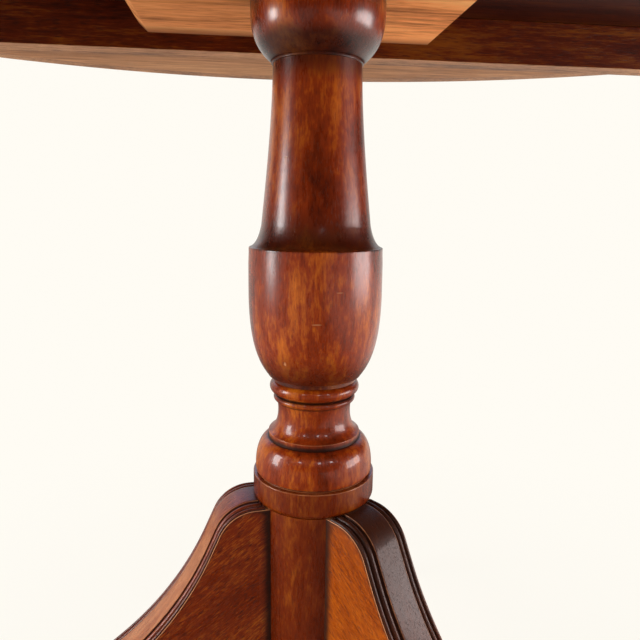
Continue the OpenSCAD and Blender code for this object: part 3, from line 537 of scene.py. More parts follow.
def wood(name, tones, colours, turn=None, shift=(0.0, 0.0, 0.0), attribute=None, figure=1.0, fine=1.0,
         rough=0.28, coat=0.34, coat_rough=0.16, relief=0.14, wear=0.5, specular=0.22, drawn=1.0,
         marked=True, nicks=(), zones=()):
    """A polished wood; relief is the depth of its fibres in millimetres.

    A marked piece has grime and painted shade in its point attributes, which dull the coat. Each zone is
    an axis, two places along it, tones and a change of the roughness: the wood turns into those tones on
    the way from the first place to the second.
    """
    wiring = Wiring(bpy.data.materials.new(name))
    grain = wiring.place(turn, shift, attribute, drawn)
    tone, pores, rougher, height = mahogany(wiring, grain, figure, fine)
    shade = aged_and_painted_light(wiring, stained(wiring, tone, pores, tones), colours, grain, wear)
    for axis, first, last, others, dulling in zones:
        along = wiring.split(wiring.place()).other(axis)
        share = wiring.between((tone - 0.5) * (last - first) + along, first, last)
        shade = wiring.blend(share, shade, stained(wiring, tone, pores, others))
        rougher = rougher + share * dulling
    if nicks:
        cut = scratches(wiring, nicks)
        shade = wiring.blend(cut * 0.8, shade, opaque(colours.rubbed_and_lit))
        height = height - cut * 2.0
    if marked:
        dust_and_shade = wiring.marks("grime")
        rougher = rougher + dust_and_shade * 0.25
        coat = (1.0 - dust_and_shade) * coat
    return wiring.finish({"Base Color": shade, "Roughness": rougher + rough, "Coat Weight": coat,
                          "Normal": wiring.bump(height, relief), "Coat Roughness": coat_rough,
                          "Specular IOR Level": specular})


def sawn_foot(node):
    """The zone in which a node's stain gives way to sawn wood, 0.7 to 0.1 mm above its under face."""
    return "Z", low(node).z + 0.7, low(node).z + 0.1, SAWN, 0.25


def oval_arcs(sizes):
    """Radius of the side arcs and the end arcs, and how far their centres lie across and along."""
    side_r, end_r = sizes.side_r / MM, sizes.end_r / MM
    return side_r, end_r, side_r - high("edge_right").y, high("edge_right").x - end_r


def oval_place(split, sizes):
    """Distance in from the oval's edge and the way round it, in millimetres.

    The distance in is end_r - |(x - end_c, y)| in the sectors of the ends and side_r - |(x, y + side_c)|
    elsewhere, with x and y taken without their signs. The way round is the arc's angle times its radius.
    """
    x, y = abs(split), abs(split.other("Y"))
    side_r, end_r, side_c, end_c = oval_arcs(sizes)
    beyond = x - end_c
    end_way = (y * y + beyond * beyond) ** 0.5
    reach = y + side_c
    side_way = (x * x + reach * reach) ** 0.5
    at_end = (beyond * side_c) > (y * end_c)
    inset = at_end * (end_r - end_way) + (1.0 - at_end) * (side_r - side_way)
    round_end = beyond.maths("ARCTAN2", split.other("Y"), beyond)
    round_side = reach.maths("ARCTAN2", x, reach)
    # The sides' veneers start far along, so that they don't repeat those of the ends
    return inset, at_end * round_end * end_r + (1.0 - at_end) * (round_side * side_r + 900.0)


def top_veneer(name, colours, sizes):
    """Polished top: straight veneer inside a crossbanded border, and plain sealed wood underneath."""
    wiring = Wiring(bpy.data.materials.new(name))
    flat = wiring.place()
    split = wiring.split(flat)
    inset, way_round = oval_place(split, sizes)
    z = split.other("Z")
    border_in = (sizes.lip + sizes.band) / MM
    banded = wiring.between(inset, border_in + 0.4, border_in - 0.4)
    # The veneer shows on the upper face and 1 mm down its edges
    upper = z > (TOP_Z - 1.0)
    cross_grain = wiring.node("ShaderNodeCombineXYZ", values={0: inset, 1: way_round, 2: z})
    tones = (toned(colours.dark, 1.8), toned(colours.middle, 1.35), toned(colours.light, 1.05))
    drawn = wiring.vector("MULTIPLY", flat, (0.16, 0.55, 1.0))
    field, field_pores, field_rough, field_relief = mahogany(wiring, drawn, 0.9, 0.6)
    border, border_pores, border_rough, border_relief = mahogany(wiring, cross_grain, 0.6, 0.6)
    shade = wiring.blend(banded, stained(wiring, field, field_pores, tones),
                         stained(wiring, border, border_pores, tones))
    # A dark line 1.8 mm wide lies between the two veneers
    line = wiring.between(abs(inset - border_in), 1.1, 0.7)
    shade = wiring.blend(line, shade, opaque(colours.dark))
    # Underneath, the wood is dark between the rails and plain sawn outside them
    inside = wiring.between(abs(split.other("Y")), low("rail_far").y + 6.0, low("rail_far").y + 4.0)
    under = wiring.blend(inside, stained(wiring, field, field_pores, SAWN),
                         stained(wiring, field, field_pores, [toned(t, 0.22) for t in tones]))
    shade = wiring.blend(upper, under, shade)
    rough = banded * border_rough + (1.0 - banded) * field_rough
    height = banded * border_relief + (1.0 - banded) * field_relief
    return wiring.finish({"Base Color": shade, "Roughness": rough + 0.55 - upper * 0.20,
                          "Normal": wiring.bump(height, 0.04), "Coat Weight": upper * 0.12,
                          "Coat Roughness": 0.12, "Specular IOR Level": 0.16})


def metal(name, shade, tarnish, rough):
    """Metal with a fine brushed relief and tarnish in patches."""
    wiring = Wiring(bpy.data.materials.new(name))
    place = wiring.place()
    patch = wiring.noise(place, (0.05, 0.05, 0.05), 4.0, 0.6)
    lines = wiring.noise(place, (0.02, 0.9, 0.9), 2.0, 0.6)
    dull = wiring.between(patch + (lines - 0.5) * 0.2, 0.45, 0.78)
    shade = wiring.blend(dull * 0.7, opaque(shade), opaque(tarnish))
    return wiring.finish({"Base Color": shade, "Metallic": 1.0, "Normal": wiring.bump(lines, 0.01),
                          "Roughness": dull * 0.22 + (lines - 0.5) * 0.1 + rough})


def upright():
    """Turn that brings the Z axis, the grain of a turned piece, onto X."""
    return Matrix.Rotation(math.radians(90.0), 3, "Y")


def along_leg(azimuth):
    """Turn that brings the grain of a leg, which falls outwards at 37 degrees, onto X."""
    return Matrix.Rotation(math.radians(-37.0), 3, "Y") @ Matrix.Rotation(math.radians(-azimuth), 3, "Z")


def across():
    """Turn that brings the Y axis onto X."""
    return Matrix.Rotation(math.radians(-90.0), 3, "Z")


# Turned pieces; each outline runs upwards as points (radius, height)

def bell_outline(s):
    """Two fine fillets, a cubic curve out to the bell, its straight side, an arc and a grooved rim."""
    shaft, bell = s.shaft / MM, s.bell / MM
    return np.vstack([
        [[shaft + 0.1, BELL_Z]],
        arc((shaft + 0.5, BELL_Z + 0.5), 0.4, -60, 0, 5),
        arc((shaft + 0.5, BELL_Z + 1.5), 0.4, 0, 75, 5),
        bow((shaft + 1.2, BELL_Z + 2), (bell - 5.6, BELL_Z + 8), (bell, BELL_Z + 17),
            (bell, BELL_Z + 31), 44),
        [[bell, BLOCK_Z - 10.9]],
        arc((bell - 0.5, BLOCK_Z - 10.5), 0.5, 0, 80, 5),
        [[bell - 0.85, BLOCK_Z - 9.9], [bell - 0.85, BLOCK_Z - 9.4], [bell - 0.3, BLOCK_Z - 9.0],
         [bell - 0.2, BLOCK_Z - 8.6], [bell - 0.4, BLOCK_Z - 0.05]],
    ])


def column_outline(s):
    """A fillet, a cubic curve up the urn, the arc of its rim and two cubic curves up the shaft."""
    bead, urn, shaft, shoulder = s.bead / MM, s.urn / MM, s.shaft / MM, SHOULDER_Z
    rise = BELL_Z - shoulder
    return np.vstack([
        [[bead - 2.5, URN_Z + 0.05], [bead - 2.5, URN_Z + 3.2], [bead - 1.6, URN_Z + 3.7]],
        arc((bead + 0.4, URN_Z + 4.5), 0.7, -95, -15, 5),
        bow((bead + 1.2, URN_Z + 4.7), (urn - 3.5, URN_Z + 18), (urn + 0.2, URN_Z + 39),
            (urn, URN_Z + 70), 60),
        [[urn - 0.1, shoulder - 12], [urn - 0.45, shoulder - 4], [urn - 0.45, shoulder - 1.0]],
        arc((urn - 1.05, shoulder - 0.6), 0.6, 0, 75, 6),
        bow((urn - 1.15, shoulder + 0.08), (urn - 5.5, shoulder + 1.5), (41.8, shoulder + 8),
            (40.2, shoulder + 16), 36),
        bow((40.2, shoulder + 16), (shaft + 4.6, shoulder + rise * 0.42),
            (shaft + 0.4, shoulder + rise * 0.74), (shaft, BELL_Z), 40)[1:],
    ])


def neck_outline(s):
    """A cubic curve over the torus, a fillet, one up the hollow neck and the arcs of two beads."""
    torus, neck, bead = s.torus / MM, s.neck / MM, s.bead / MM
    fillet, fillet_z = 35.6, NECK_Z + 28
    return np.vstack([
        [[torus - 1.9, NECK_Z + 0.05], [torus - 1.9, NECK_Z + 0.9], [torus - 1.2, NECK_Z + 1.4]],
        arc((torus - 1.2, NECK_Z + 2.4), 0.8, -60, 5, 5),
        bow((torus - 0.2, NECK_Z + 3.4), (torus + 0.2, NECK_Z + 18), (fillet + 6.4, NECK_Z + 27.2),
            (fillet + 0.5, fillet_z - 0.05), 44),
        [[fillet, fillet_z + 0.2], [fillet, fillet_z + 4.2]],
        arc((fillet - 0.5, fillet_z + 4.5), 0.5, 0, 80, 5),
        bow((fillet - 0.6, fillet_z + 5.1), (neck - 1.4, fillet_z + 9), (neck - 1.0, fillet_z + 24),
            (neck + 0.6, URN_Z - 16.6), 36),
        arc((bead - 5.3, URN_Z - 14), 2.4, -70, 78, 14),
        arc((bead - 5, URN_Z - 5.2), 5, -72, 90, 22),
        [[bead - 5.6, URN_Z - 0.05]],
    ])


def collar_outline(s):
    """The arc of the rounded foot, a straight side and the arc of its upper arris."""
    collar, post = s.collar / MM, s.post / MM
    return np.vstack([
        [[post - 4, COLLAR_Z + 0.05]],
        arc((collar - 5, COLLAR_Z + 5), 5, -80, 0, 14),
        [[collar, NECK_Z - 1.2]],
        arc((collar - 0.7, NECK_Z - 0.75), 0.7, 0, 88, 6),
    ])


def post_outline(s):
    """The arc of the eased foot and a straight side."""
    post = s.post / MM
    return np.vstack([
        arc((post - 0.8, ROOT_Z + 0.8), 0.8, -90, 0, 6),
        np.column_stack([np.full(12, post), np.linspace(ROOT_Z + 4, COLLAR_Z - 0.05, 12)]),
    ])


def bored(outline, foot=None, socket=None):
    """Closed section: up the outline, into the socket at the top, down the bore and round the spigot."""
    base, top = outline[0, 1], outline[-1, 1]
    inner, root = [[BORE_R, top]], [[BORE_R, base]]
    if socket:
        inner = [[SOCKET_R, top], [SOCKET_R, top - socket], [BORE_R, top - socket]]
    if foot:
        root = [[BORE_R, base - foot], [SPIGOT_R, base - foot], [SPIGOT_R, base]]
    return np.vstack([outline, inner, root])


def lathe(name, section, facets, material):
    """A closed section turned round the Z axis: (r cos a, r sin a, z), with a over a full turn."""
    a = np.linspace(0.0, 2 * math.pi, facets, endpoint=False)
    r, z = section[:, 0, None], section[:, 1, None]
    points = np.stack([r * np.cos(a), r * np.sin(a), z + 0.0 * a], axis=-1)
    marks = [np.repeat(m, facets) for m in edge_marks(section, 0.55, 0.3)]
    faces = grid_faces(len(section), facets, closed_rows=True).tolist()
    return new_piece(name, points, faces, material, marks)


class DINING_OT_turnings(bpy.types.Operator):
    """Turn the bell, the column with its urn, the neck, the collar and the post"""

    bl_idname = "dining_table.turnings"
    bl_label = "Turned column"

    def execute(self, context):
        sizes, colours = context.scene.table_turning, context.scene.table_colours
        facets = sizes.facets
        polish = (colours.dark, colours.middle, colours.light)
        # Belts between two heights in which the stain turns to another level of the polish: painted
        # shade under the bell, in the shoulder's cove and at the urn's foot, the urn painted lighter
        # where it is lit, and on the bell a painted sheen band over painted shade
        painted_light_belts = {
            "bell": [(BELL_Z + 38.0, BELL_Z + 29.0, 1.0), (BELL_Z + 19.0, BELL_Z + 10.0, 0.25)],
            "column": [(BELL_Z - 17.0, BELL_Z - 1.0, 0.35), (SHOULDER_Z + 32.0, SHOULDER_Z + 5.0, 0.28),
                       (SHOULDER_Z + 1.0, SHOULDER_Z - 2.0, 1.2), (URN_Z + 30.0, URN_Z + 4.0, 0.5)],
        }
        # Scratches on the column: their middles and half sizes
        nicks = [((-4.1, -49.1, 457.8), (3.7, 1.5, 0.45)), ((11.3, -48.6, 479.5), (2.6, 1.5, 0.4)),
                 ((-25.0, -36.7, 427.5), (0.9, 1.5, 1.6)), ((-23.8, -26.5, 568.8), (1.6, 1.5, 0.4))]
        finishes = {
            "bell": {"wear": 0.15, "coat": 0.6, "coat_rough": 0.20},
            "column": {"wear": 0.6, "coat": 0.45, "coat_rough": 0.22, "nicks": nicks},
            "neck": {"wear": 0.6, "coat": 0.30, "coat_rough": 0.06},
            "collar": {"wear": 0.6, "figure": 0.6},
            "post": {"wear": 0.0, "figure": 0.6},
        }
        # Section, shift of the grain and gain of the stain; the bell's low gain is painted shade
        turned = {
            "bell": (bored(bell_outline(sizes), SPIGOT_L), (90.0, 12.0, -40.0), 0.55),
            "column": (bored(column_outline(sizes), SPIGOT_L, SOCKET_L), (0.0, 0.0, 0.0), 1.0),
            "neck": (bored(neck_outline(sizes), NECK_Z - COLLAR_Z + SPIGOT_L, SOCKET_L),
                     (400.0, 31.0, 8.0), 1.05),
            "collar": (bored(collar_outline(sizes)), (230.0, -35.0, 22.0), 0.65),
            "post": (bored(post_outline(sizes), socket=SOCKET_L + 1), (700.0, -60.0, -15.0), 0.68),
        }
        for node, (section, shift, gain) in turned.items():
            tones = [toned(c, gain) for c in polish]
            zones = [("Z", first, last, [toned(c, level) for c in polish], 0.0)
                     for first, last, level in painted_light_belts.get(node, ())]
            material = wood("mahogany_" + node, tones, colours, upright(), shift, fine=0.5, zones=zones,
                            **finishes[node])
            stands_for(lathe(node + "_turned", section, facets, material), node)
        return {"FINISHED"}


# Legs

def run_share(path):
    """Share of a path's length that lies before each of its points."""
    gone = np.concatenate([[0.0], np.linalg.norm(np.diff(path, axis=0), axis=1).cumsum()])
    return gone / gone[-1]


def leg_curves(s):
    """Upper edge, its normal and the lower edge of a leg, from the post out to the toe.

    The upper edge is a level stretch, the knee's arc, a straight, and two sweeps that meet in a common
    tangent. The lower edge is level under the root and then one arc. Both are read at equal shares of
    their lengths.
    """
    knee_r, sweep_r, toe_r, toe_h = s.knee_r / MM, s.sweep_r / MM, s.toe_r / MM, s.toe_h / MM
    steep, middle, toe = (math.degrees(a) for a in (s.steep, s.middle, s.toe))
    out = [np.array([math.sin(a), math.cos(a)]) for a in (s.steep, s.middle, s.toe)]
    knee_x = s.knee_x / MM
    knee_c = np.array([knee_x, KNEE_TOP - knee_r])
    knee_1 = knee_c + knee_r * out[0]
    knee_2 = knee_1 + s.steep_l / MM * np.array([math.cos(s.steep), -math.sin(s.steep)])
    sweep_c = knee_2 + sweep_r * out[0]
    toe_c = sweep_c + (toe_r - sweep_r) * out[1]
    toe_low = toe_c - (toe_r + toe_h) * out[2]
    path = np.vstack([
        [[POST_SEAT, KNEE_TOP], [knee_x - 1.6, KNEE_TOP], [knee_x - 0.8, KNEE_TOP]],
        arc(knee_c, knee_r, 90.0, 90.0 - steep, 30),
        (knee_1 + knee_2)[None] / 2,
        arc(sweep_c, sweep_r, -90.0 - steep, -90.0 - middle, 44),
        arc(toe_c, toe_r, -90.0 - middle, -90.0 - toe, 40)[1:],
    ])
    heading = np.gradient(path, axis=0)
    heading /= np.linalg.norm(heading, axis=1, keepdims=True)
    heading[-1] = (math.cos(s.toe), -math.sin(s.toe))
    normal = np.column_stack([-heading[:, 1], heading[:, 0]])
    root_x = high("post").x + s.root / MM
    dx, dz = toe_low[0] - root_x, ROOT_Z - toe_low[1]
    under_r = (dx * dx + dz * dz) / (2 * dz)
    bend = math.degrees(math.atan2(dx, under_r - dz))
    lower = np.vstack([[[POST_SEAT, ROOT_Z]],
                       arc((root_x, ROOT_Z - under_r), under_r, 90.0, 90.0 - bend, 80)])
    share, gone = run_share(path), run_share(lower)
    under = np.column_stack([np.interp(share, gone, lower[:, n]) for n in (0, 1)])
    return path, normal, under


def leg_rows(s):
    """Half section of a leg as rows of (y, depth under the band, share down the side, rise of the foot).

    From the middle out: the crowned band, a quirk, the inner reed, a quirk, the outer reed, a fine quirk
    and the arris of the leg's face.
    """
    half, quirk = s.thick / MM / 2, s.quirk / MM
    inner, outer = s.inner_reed / MM, s.outer_reed / MM
    flat = half - s.border / MM
    rows = [(y, 0.30 * (y / flat) ** 2) for y in np.linspace(0.0, flat, 9)]
    rows += [(flat + 0.25, 0.42), (flat + 0.4, 0.85), (flat + 0.5, 2.2), (flat + 1.0, 2.8),
             (flat + 1.55, 2.5)]
    rows += [(y, -d) for y, d in arc((flat + 4.0, -0.8 - inner), inner, 170.0, 4.0, 14)]
    rows += [(flat + 6.35, quirk - 0.25), (flat + 6.8, quirk), (flat + 7.2, quirk - 0.25)]
    rows += [(y, -d) for y, d in arc((half - 2.45, -1.4 - outer), outer, 172.0, 8.0, 13)]
    rows += [(half - 0.8, quirk - 0.2), (half - 0.6, 3.0), (half - 0.42, 2.82), (half - 0.2, 2.86),
             (half - 0.05, 3.05), (half, DEEP)]
    rows = [(*row, 0.0, 0.0) for row in rows]
    rows += [(half, DEEP, f, 0.0) for f in np.linspace(0.02, 0.96, 12)]
    rows += [(half - 1.2 + y, DEEP, 1.0, 1.2 + e) for y, e in arc((0.0, 0.0), 1.2, 0.0, -90.0, 6)]
    rows += [(y, DEEP, 1.0, 0.0) for y in (half * 0.6, half * 0.3, 0.0)]
    return np.array(rows)


def leg_loops(s):
    """Loops of a leg in its own plane: upper point less depth times normal, moved down its rung."""
    path, normal, under = leg_curves(s)
    rows = leg_rows(s)
    order, side = mirrored(len(rows))
    y, depth, share, rise = rows[order].T
    start = path[:, None] - depth[None, :, None] * normal[:, None]
    rung = under[:, None] - start
    unit = rung / np.linalg.norm(rung, axis=2, keepdims=True)
    flat = start + share[None, :, None] * rung - rise[None, :, None] * unit
    loops = np.stack([flat[..., 0], np.broadcast_to(y * side, flat.shape[:2]), flat[..., 1]], axis=-1)
    seat = np.where(loops[0, :, 2] > COLLAR_Z, COLLAR_SEAT, POST_SEAT)
    loops[0, :, 0] = np.sqrt(seat ** 2 - loops[0, :, 1] ** 2)
    profile = np.column_stack([y * side, -(depth + share * 100.0 - rise)])
    return loops, profile, len(rows)


class DINING_OT_legs(bpy.types.Operator):
    """Sweep the three legs with their reeded upper edges"""

    bl_idname = "dining_table.legs"
    bl_label = "Reeded legs"

    def execute(self, context):
        sizes, colours = context.scene.table_leg, context.scene.table_colours
        loops, profile, count = leg_loops(sizes)
        stations, ring = loops.shape[:2]
        wear, grime = edge_marks(profile, 0.45, 0.4)
        # Dirt and painted shade gather where the leg meets the post, painted shade darkens the upper
        # face near the knee, and the flat band is worn further out
        joint_dirt_and_shade = 0.8 * np.exp(-((np.hypot(loops[..., 0], loops[..., 1]) - POST_SEAT) / 1.9) ** 2)
        flat = (sizes.thick / 2 - sizes.border) / MM
        upper = (profile[:, 1] > 0.3 - DEEP) * 1.0
        band = (np.abs(profile[:, 0]) < flat + 0.3) * (profile[:, 1] > -1.0)
        run = np.linspace(0.0, 1.0, stations)[:, None]
        faces = grid_faces(stations, ring).tolist() + cap_faces(stations, count)
        x, y, z = np.moveaxis(loops, -1, 0)
        # Gain of the stain, higher on the near leg to paint light on its lit sides, shift of the grain,
        # and for the band its painted shade at the knee, how fast that fades and the wear further down
        looks = {
            "left": (1.0, (0.0, 24.0, 0.0), 0.50, 4.0, 0.70),
            "near": (1.85, (310.0, -60.0, 18.0), 0.78, 0.5, 0.0),
            "far": (1.2, (620.0, 40.0, 60.0), 0.3, 1.0, 0.4),
        }
        for name, azimuth in LEGS.items():
            gain, shift, painted_knee_shade, fade, worn = looks[name]
            a = math.radians(azimuth)
            points = np.stack([x * math.cos(a) - y * math.sin(a), x * math.sin(a) + y * math.cos(a), z],
                              axis=-1)
            tones = (toned(colours.dark, gain), mixed(colours.middle, colours.light, 0.4 * gain - 0.4),
                     colours.light)
            material = wood("mahogany_leg_" + name, tones, colours, along_leg(azimuth), shift,
                            figure=0.32, wear=1.0)
            marks = [np.maximum(wear[None], band * worn * np.clip(5.0 * run - 0.5, 0.0, 1.0)),
                     np.maximum(np.maximum(grime[None], joint_dirt_and_shade), upper * painted_knee_shade * (1.0 - run) ** fade)]
            piece = new_piece(f"leg_{name}_reeded", points, faces, material, marks)
            stands_for(piece, "leg_" + name)
        return {"FINISHED"}


# Table top

def lipping_half(s):
    """Half section of the lipping, outermost point first: (height from its middle, offset inwards)."""
    reed, lip = s.reed_r / MM, s.lip / MM
    half = (TOP_Z - UNDER_Z) / 2
    step = 2 * half / 3
    middle = arc((0.0, -reed), reed, 90.0, 4.0, 12)
    lower = arc((step, -reed), reed, 176.0, 20.0, 20)
    foot = [[half - 0.25, -reed - 1.2], [half, -reed - 2.0], [half, -reed - 4.0]]
    return np.vstack([middle, lower, foot, [[half, -lip * 0.5], [half, -lip + 0.2], [0.0, -lip + 0.2]]])


def lipping_strip(s, centre, radius, first, last):
    """A stretch of lipping along centre + radius (cos a, sin a), with its grain coordinates."""
    half = lipping_half(s)
    order, side = mirrored(len(half))
    rise, offset = half[order].T
    count = max(8, int(abs(last - first) * LIP_STEPS))
    a = np.radians(np.linspace(first, last, count))[:, None]
    r = radius + offset[None]
    z = np.broadcast_to((TOP_Z + UNDER_Z) / 2 + rise * side, (count, len(rise)))
    loops = np.stack([centre[0] + r * np.cos(a), centre[1] + r * np.sin(a), z], axis=-1)
    grain = np.stack([radius * a + 0.0 * r, offset[None] + 0.0 * a, z], axis=-1)
    profile = np.column_stack([offset, rise * side])
    return loops, grain, profile, len(half)


class DINING_OT_lippings(bpy.types.Operator):
    """Run the reeded lipping round each half of the top, in an end strip and two side strips"""

    bl_idname = "dining_table.lippings"
    bl_label = "Reeded lippings"

    def execute(self, context):
        sizes, colours = context.scene.table_top, context.scene.table_colours
        side_r, end_r, side_c, end_c = oval_arcs(sizes)
        side_a = math.degrees(math.atan2(end_c, side_c))
        gap_a = math.degrees(0.15 / side_r)
        joint_a = math.degrees(0.1 / end_r)
        strips = [
            ((end_c, 0.0), end_r, side_a - 90.0 + joint_a, 90.0 - side_a - joint_a),
            ((0.0, -side_c), side_r, 90.0 - side_a, 90.0 - gap_a),
            ((0.0, side_c), side_r, gap_a - 90.0, side_a - 90.0),
        ]
        tones = (toned(colours.dark, 1.3), toned(colours.middle, 1.1), toned(colours.light, 0.9))
        material = wood("mahogany_lipping", tones, colours, attribute="grain", figure=0.8, coat=0.1,
                        zones=[("Z", UNDER_Z + 2.6, UNDER_Z + 1.6, SAWN, 0.3)])
        for name, azimuth in HALVES.items():
            points, grains, faces, marks, start = [], [], [], [[], []], 0
            for n, (centre, radius, first, last) in enumerate(strips):
                loops, grain, profile, count = lipping_strip(sizes, centre, radius, first, last)
                stations, ring = loops.shape[:2]
                made = grid_faces(stations, ring).tolist() + cap_faces(stations, count)
                faces += [[v + start for v in face] for face in made]
                points.append(loops.reshape(-1, 3))
                grains.append(grain.reshape(-1, 3) + (1400.0 * n + 500.0 * (azimuth > 0), 40.0 * n, 0.0))
                shown = profile[:, 0] > -0.6 * sizes.lip / MM
                for kept, mark in zip(marks, edge_marks(profile, 0.7)):
                    kept.append(np.tile(mark * shown, stations))
                start += stations * ring
            turned = np.vstack(points) * ([-1.0, -1.0, 1.0] if azimuth else [1.0, 1.0, 1.0])
            piece = new_piece(f"lipping_{name}_reeded", turned, faces, material,
                              [np.concatenate(m) for m in marks], np.vstack(grains))
            stands_for(piece, "edge_" + name)
        return {"FINISHED"}


class DINING_OT_top(bpy.types.Operator):
    """Veneer both halves of the top"""

    bl_idname = "dining_table.top"
    bl_label = "Veneered top"

    def execute(self, context):
        material = top_veneer("mahogany_top", context.scene.table_colours, context.scene.table_top)
        for half in HALVES:
            dress("top_" + half, material)
        return {"FINISHED"}


# Underframe and fittings

class DINING_OT_underframe(bpy.types.Operator):
    """Ease and finish the block, the rails, the sliding bearers and the cross bearers"""

    bl_idname = "dining_table.underframe"
    bl_label = "Underframe"

    def execute(self, context):
        colours = context.scene.table_colours
        dark = (toned(colours.dark, 0.5), toned(colours.middle, 0.42), toned(colours.light, 0.40))
        pale = ((0.17, 0.040, 0.008), (0.70, 0.265, 0.085), (0.80, 0.385, 0.150))
        rail = wood("mahogany_rail", dark, colours, shift=(0.0, 9.0, 4.0), rough=0.34, coat=0.1,
                    wear=0.2, drawn=0.4, marked=False, zones=[sawn_foot("rail_far")])
        slide = wood("mahogany_slide", dark, colours, shift=(450.0, 90.0, 24.0), rough=0.40, coat=0.1,
                     wear=0.3, drawn=0.4, marked=False, zones=[sawn_foot("slide_left_far")])
        # The block's tones turn paler towards +X, which paints light on that side, and darker towards
        # its far edge
        painted_light_tones = [toned(c, 1.45) for c in pale]
        block = wood("mahogany_block", pale, colours, shift=(0.0, 30.0, -20.0), fine=0.5,
                     rough=0.6, coat=0.0, specular=0.04, relief=0.2, drawn=0.3, marked=False,
                     zones=[("X", 20.0, 90.0, painted_light_tones, 0.0), ("Y", 104.0, 134.0, dark, 0.0)])
        bearer = wood("mahogany_bearer", pale, colours, across(), (80.0, 0.0, 0.0), figure=0.5,
                      rough=0.5, coat=0.0, marked=False)
        for side in ("far", "near"):
            eased_copy("rail_" + side, rail, 0.8)
            for half in HALVES:
                eased_copy(f"slide_{half}_{side}", slide, 0.8)
        for half in HALVES:
            eased_copy("bearer_" + half, bearer, 0.6)
        eased_copy("block", block, 0.8)
        eased_copy("pinion_board", bearer, 0.5)
        return {"FINISHED"}


class DINING_OT_gearing(bpy.types.Operator):
    """Finish the racks, the pinion, the dowels and the stop pegs in beech"""

    bl_idname = "dining_table.gearing"
    bl_label = "Rack and pinion"

    def execute(self, context):
        colours = context.scene.table_colours
        tones = ((0.36, 0.19, 0.085), (0.55, 0.33, 0.17), (0.68, 0.47, 0.28))
        beech = wood("beech", tones, colours, figure=0.5, fine=0.35, rough=0.5, coat=0.0, wear=0.1,
                     marked=False)
        for node in ("rack_left", "rack_right", "pinion"):
            eased_copy(node, beech, 0.25)
        for node in ("dowels", "stop_pegs"):
            dress(node, beech)
        return {"FINISHED"}


class DINING_OT_metalwork(bpy.types.Operator):
    """Finish the castors, the toe caps, the catches, the screws and the tie rod"""

    bl_idname = "dining_table.metalwork"
    bl_label = "Brass and steel"

    def execute(self, context):
        colours = context.scene.table_colours
        finishes = {
            "brass": metal("brass", colours.brass, (0.20, 0.11, 0.035), 0.28),
            "steel": metal("steel", colours.steel, (0.20, 0.19, 0.18), 0.34),
        }
        shaped = [f"{kind}_{leg}" for kind in ("toe_cap", "castor_fork", "castor_wheel") for leg in LEGS]
        shaped += ["catch_lever_far", "catch_lever_near", "tripod_plate"]
        for node, slot in SLOT_OF.items():
            if slot in finishes and node in shaped:
                eased_copy(node, finishes[slot], 0.35)
            elif slot in finishes:
                dress(node, finishes[slot])
        return {"FINISHED"}


# Stage

def lamp(name, power, shade, place, target, width, height):
    """A soft rectangular lamp at place, turned towards target."""
    data = bpy.data.lights.new(name, "AREA")
    data.shape = "RECTANGLE"
    data.size, data.size_y = width, height
    data.energy = power
    data.color = shade
    holder = bpy.data.objects.new(name, data)
    holder.location = place
    holder.rotation_euler = (Vector(target) - Vector(place)).to_track_quat("-Z", "Y").to_euler()
    bpy.context.scene.collection.objects.link(holder)


def seen_directly(wiring):
    """1 for a ray from the camera and for a reflected or a transmitted one."""
    rays = wiring.node("ShaderNodeLightPath", out=0)
    either = rays.maths("MAXIMUM", rays, rays.other("Is Glossy Ray"))
    return either.maths("MAXIMUM", either, rays.other("Is Transmission Ray"))


def paper_floor(levels):
    """A pale floor that keeps the table's shadow and turns into plain paper further out."""
    wiring = Wiring(bpy.data.materials.new("floor_paper"))
    paper = opaque(levels.paper)
    away = wiring.vector("LENGTH", wiring.place(), out=1)
    plain = wiring.between(away, 300.0, 900.0) * 0.05 + 0.95
    matt = wiring.node("ShaderNodeBsdfDiffuse", values={"Color": paper})
    straight = wiring.node("ShaderNodeLightPath", out=0)
    # In reflections the floor is dark in front of the table and brighter behind it and beside it
    split = wiring.split(wiring.place())
    behind = wiring.between(split.other("Y"), 300.0, 1600.0) * 0.62
    beside = wiring.between(split, 250.0, 900.0) + wiring.between(split, -250.0, -900.0) * 0.4
    mirrored_level = straight.maths("MAXIMUM", behind, beside) + 0.015
    strength = (1.0 - straight) * mirrored_level + straight
    glow = wiring.node("ShaderNodeEmission", values={"Color": paper, "Strength": strength})
    share = seen_directly(wiring) * plain
    shown = wiring.node("ShaderNodeMixShader", values={0: share, 1: matt, 2: glow})
    wiring.node("ShaderNodeOutputMaterial", values={"Surface": shown})
    return wiring.owner


def paper_room(levels):
    """The room: paper to the camera, a plain level for diffuse light, and for reflections a bright
    backdrop behind the table, a cooler light above it and a dim side behind the camera."""
    world = bpy.data.worlds.new("room")
    bpy.context.scene.world = world
    wiring = Wiring(world)
    paper = opaque(levels.paper)
    rays = wiring.node("ShaderNodeLightPath", out=0)
    split = wiring.split(wiring.node("ShaderNodeTexCoord", out=0))
    behind = wiring.between(split.other("Y"), 0.40, 0.85)
    above = wiring.between(split.other("Z"), 0.16, 0.5)
    cool_sky = (0.42, 0.56, 0.86, 1.0)
    shade = wiring.blend(above, paper, cool_sky)
    level = behind * (wiring.between(split, 0.2, -0.6) * 0.35 + above * 1.8 + 0.65) + 0.01
    warm = (1.0, 0.94, 0.84, 1.0)
    mirror, seen, soft = (
        wiring.node("ShaderNodeBackground", values={"Color": tint, "Strength": strength})
        for tint, strength in ((shade, level), (paper, 1.0), (warm, levels.room)))
    glossy = rays.maths("MAXIMUM", rays.other("Is Glossy Ray"), rays.other("Is Transmission Ray"))
    shown = wiring.node("ShaderNodeMixShader", values={0: glossy, 1: soft, 2: mirror})
    shown = wiring.node("ShaderNodeMixShader", values={0: rays, 1: shown, 2: seen})
    wiring.node("ShaderNodeOutputWorld", values={"Surface": shown})


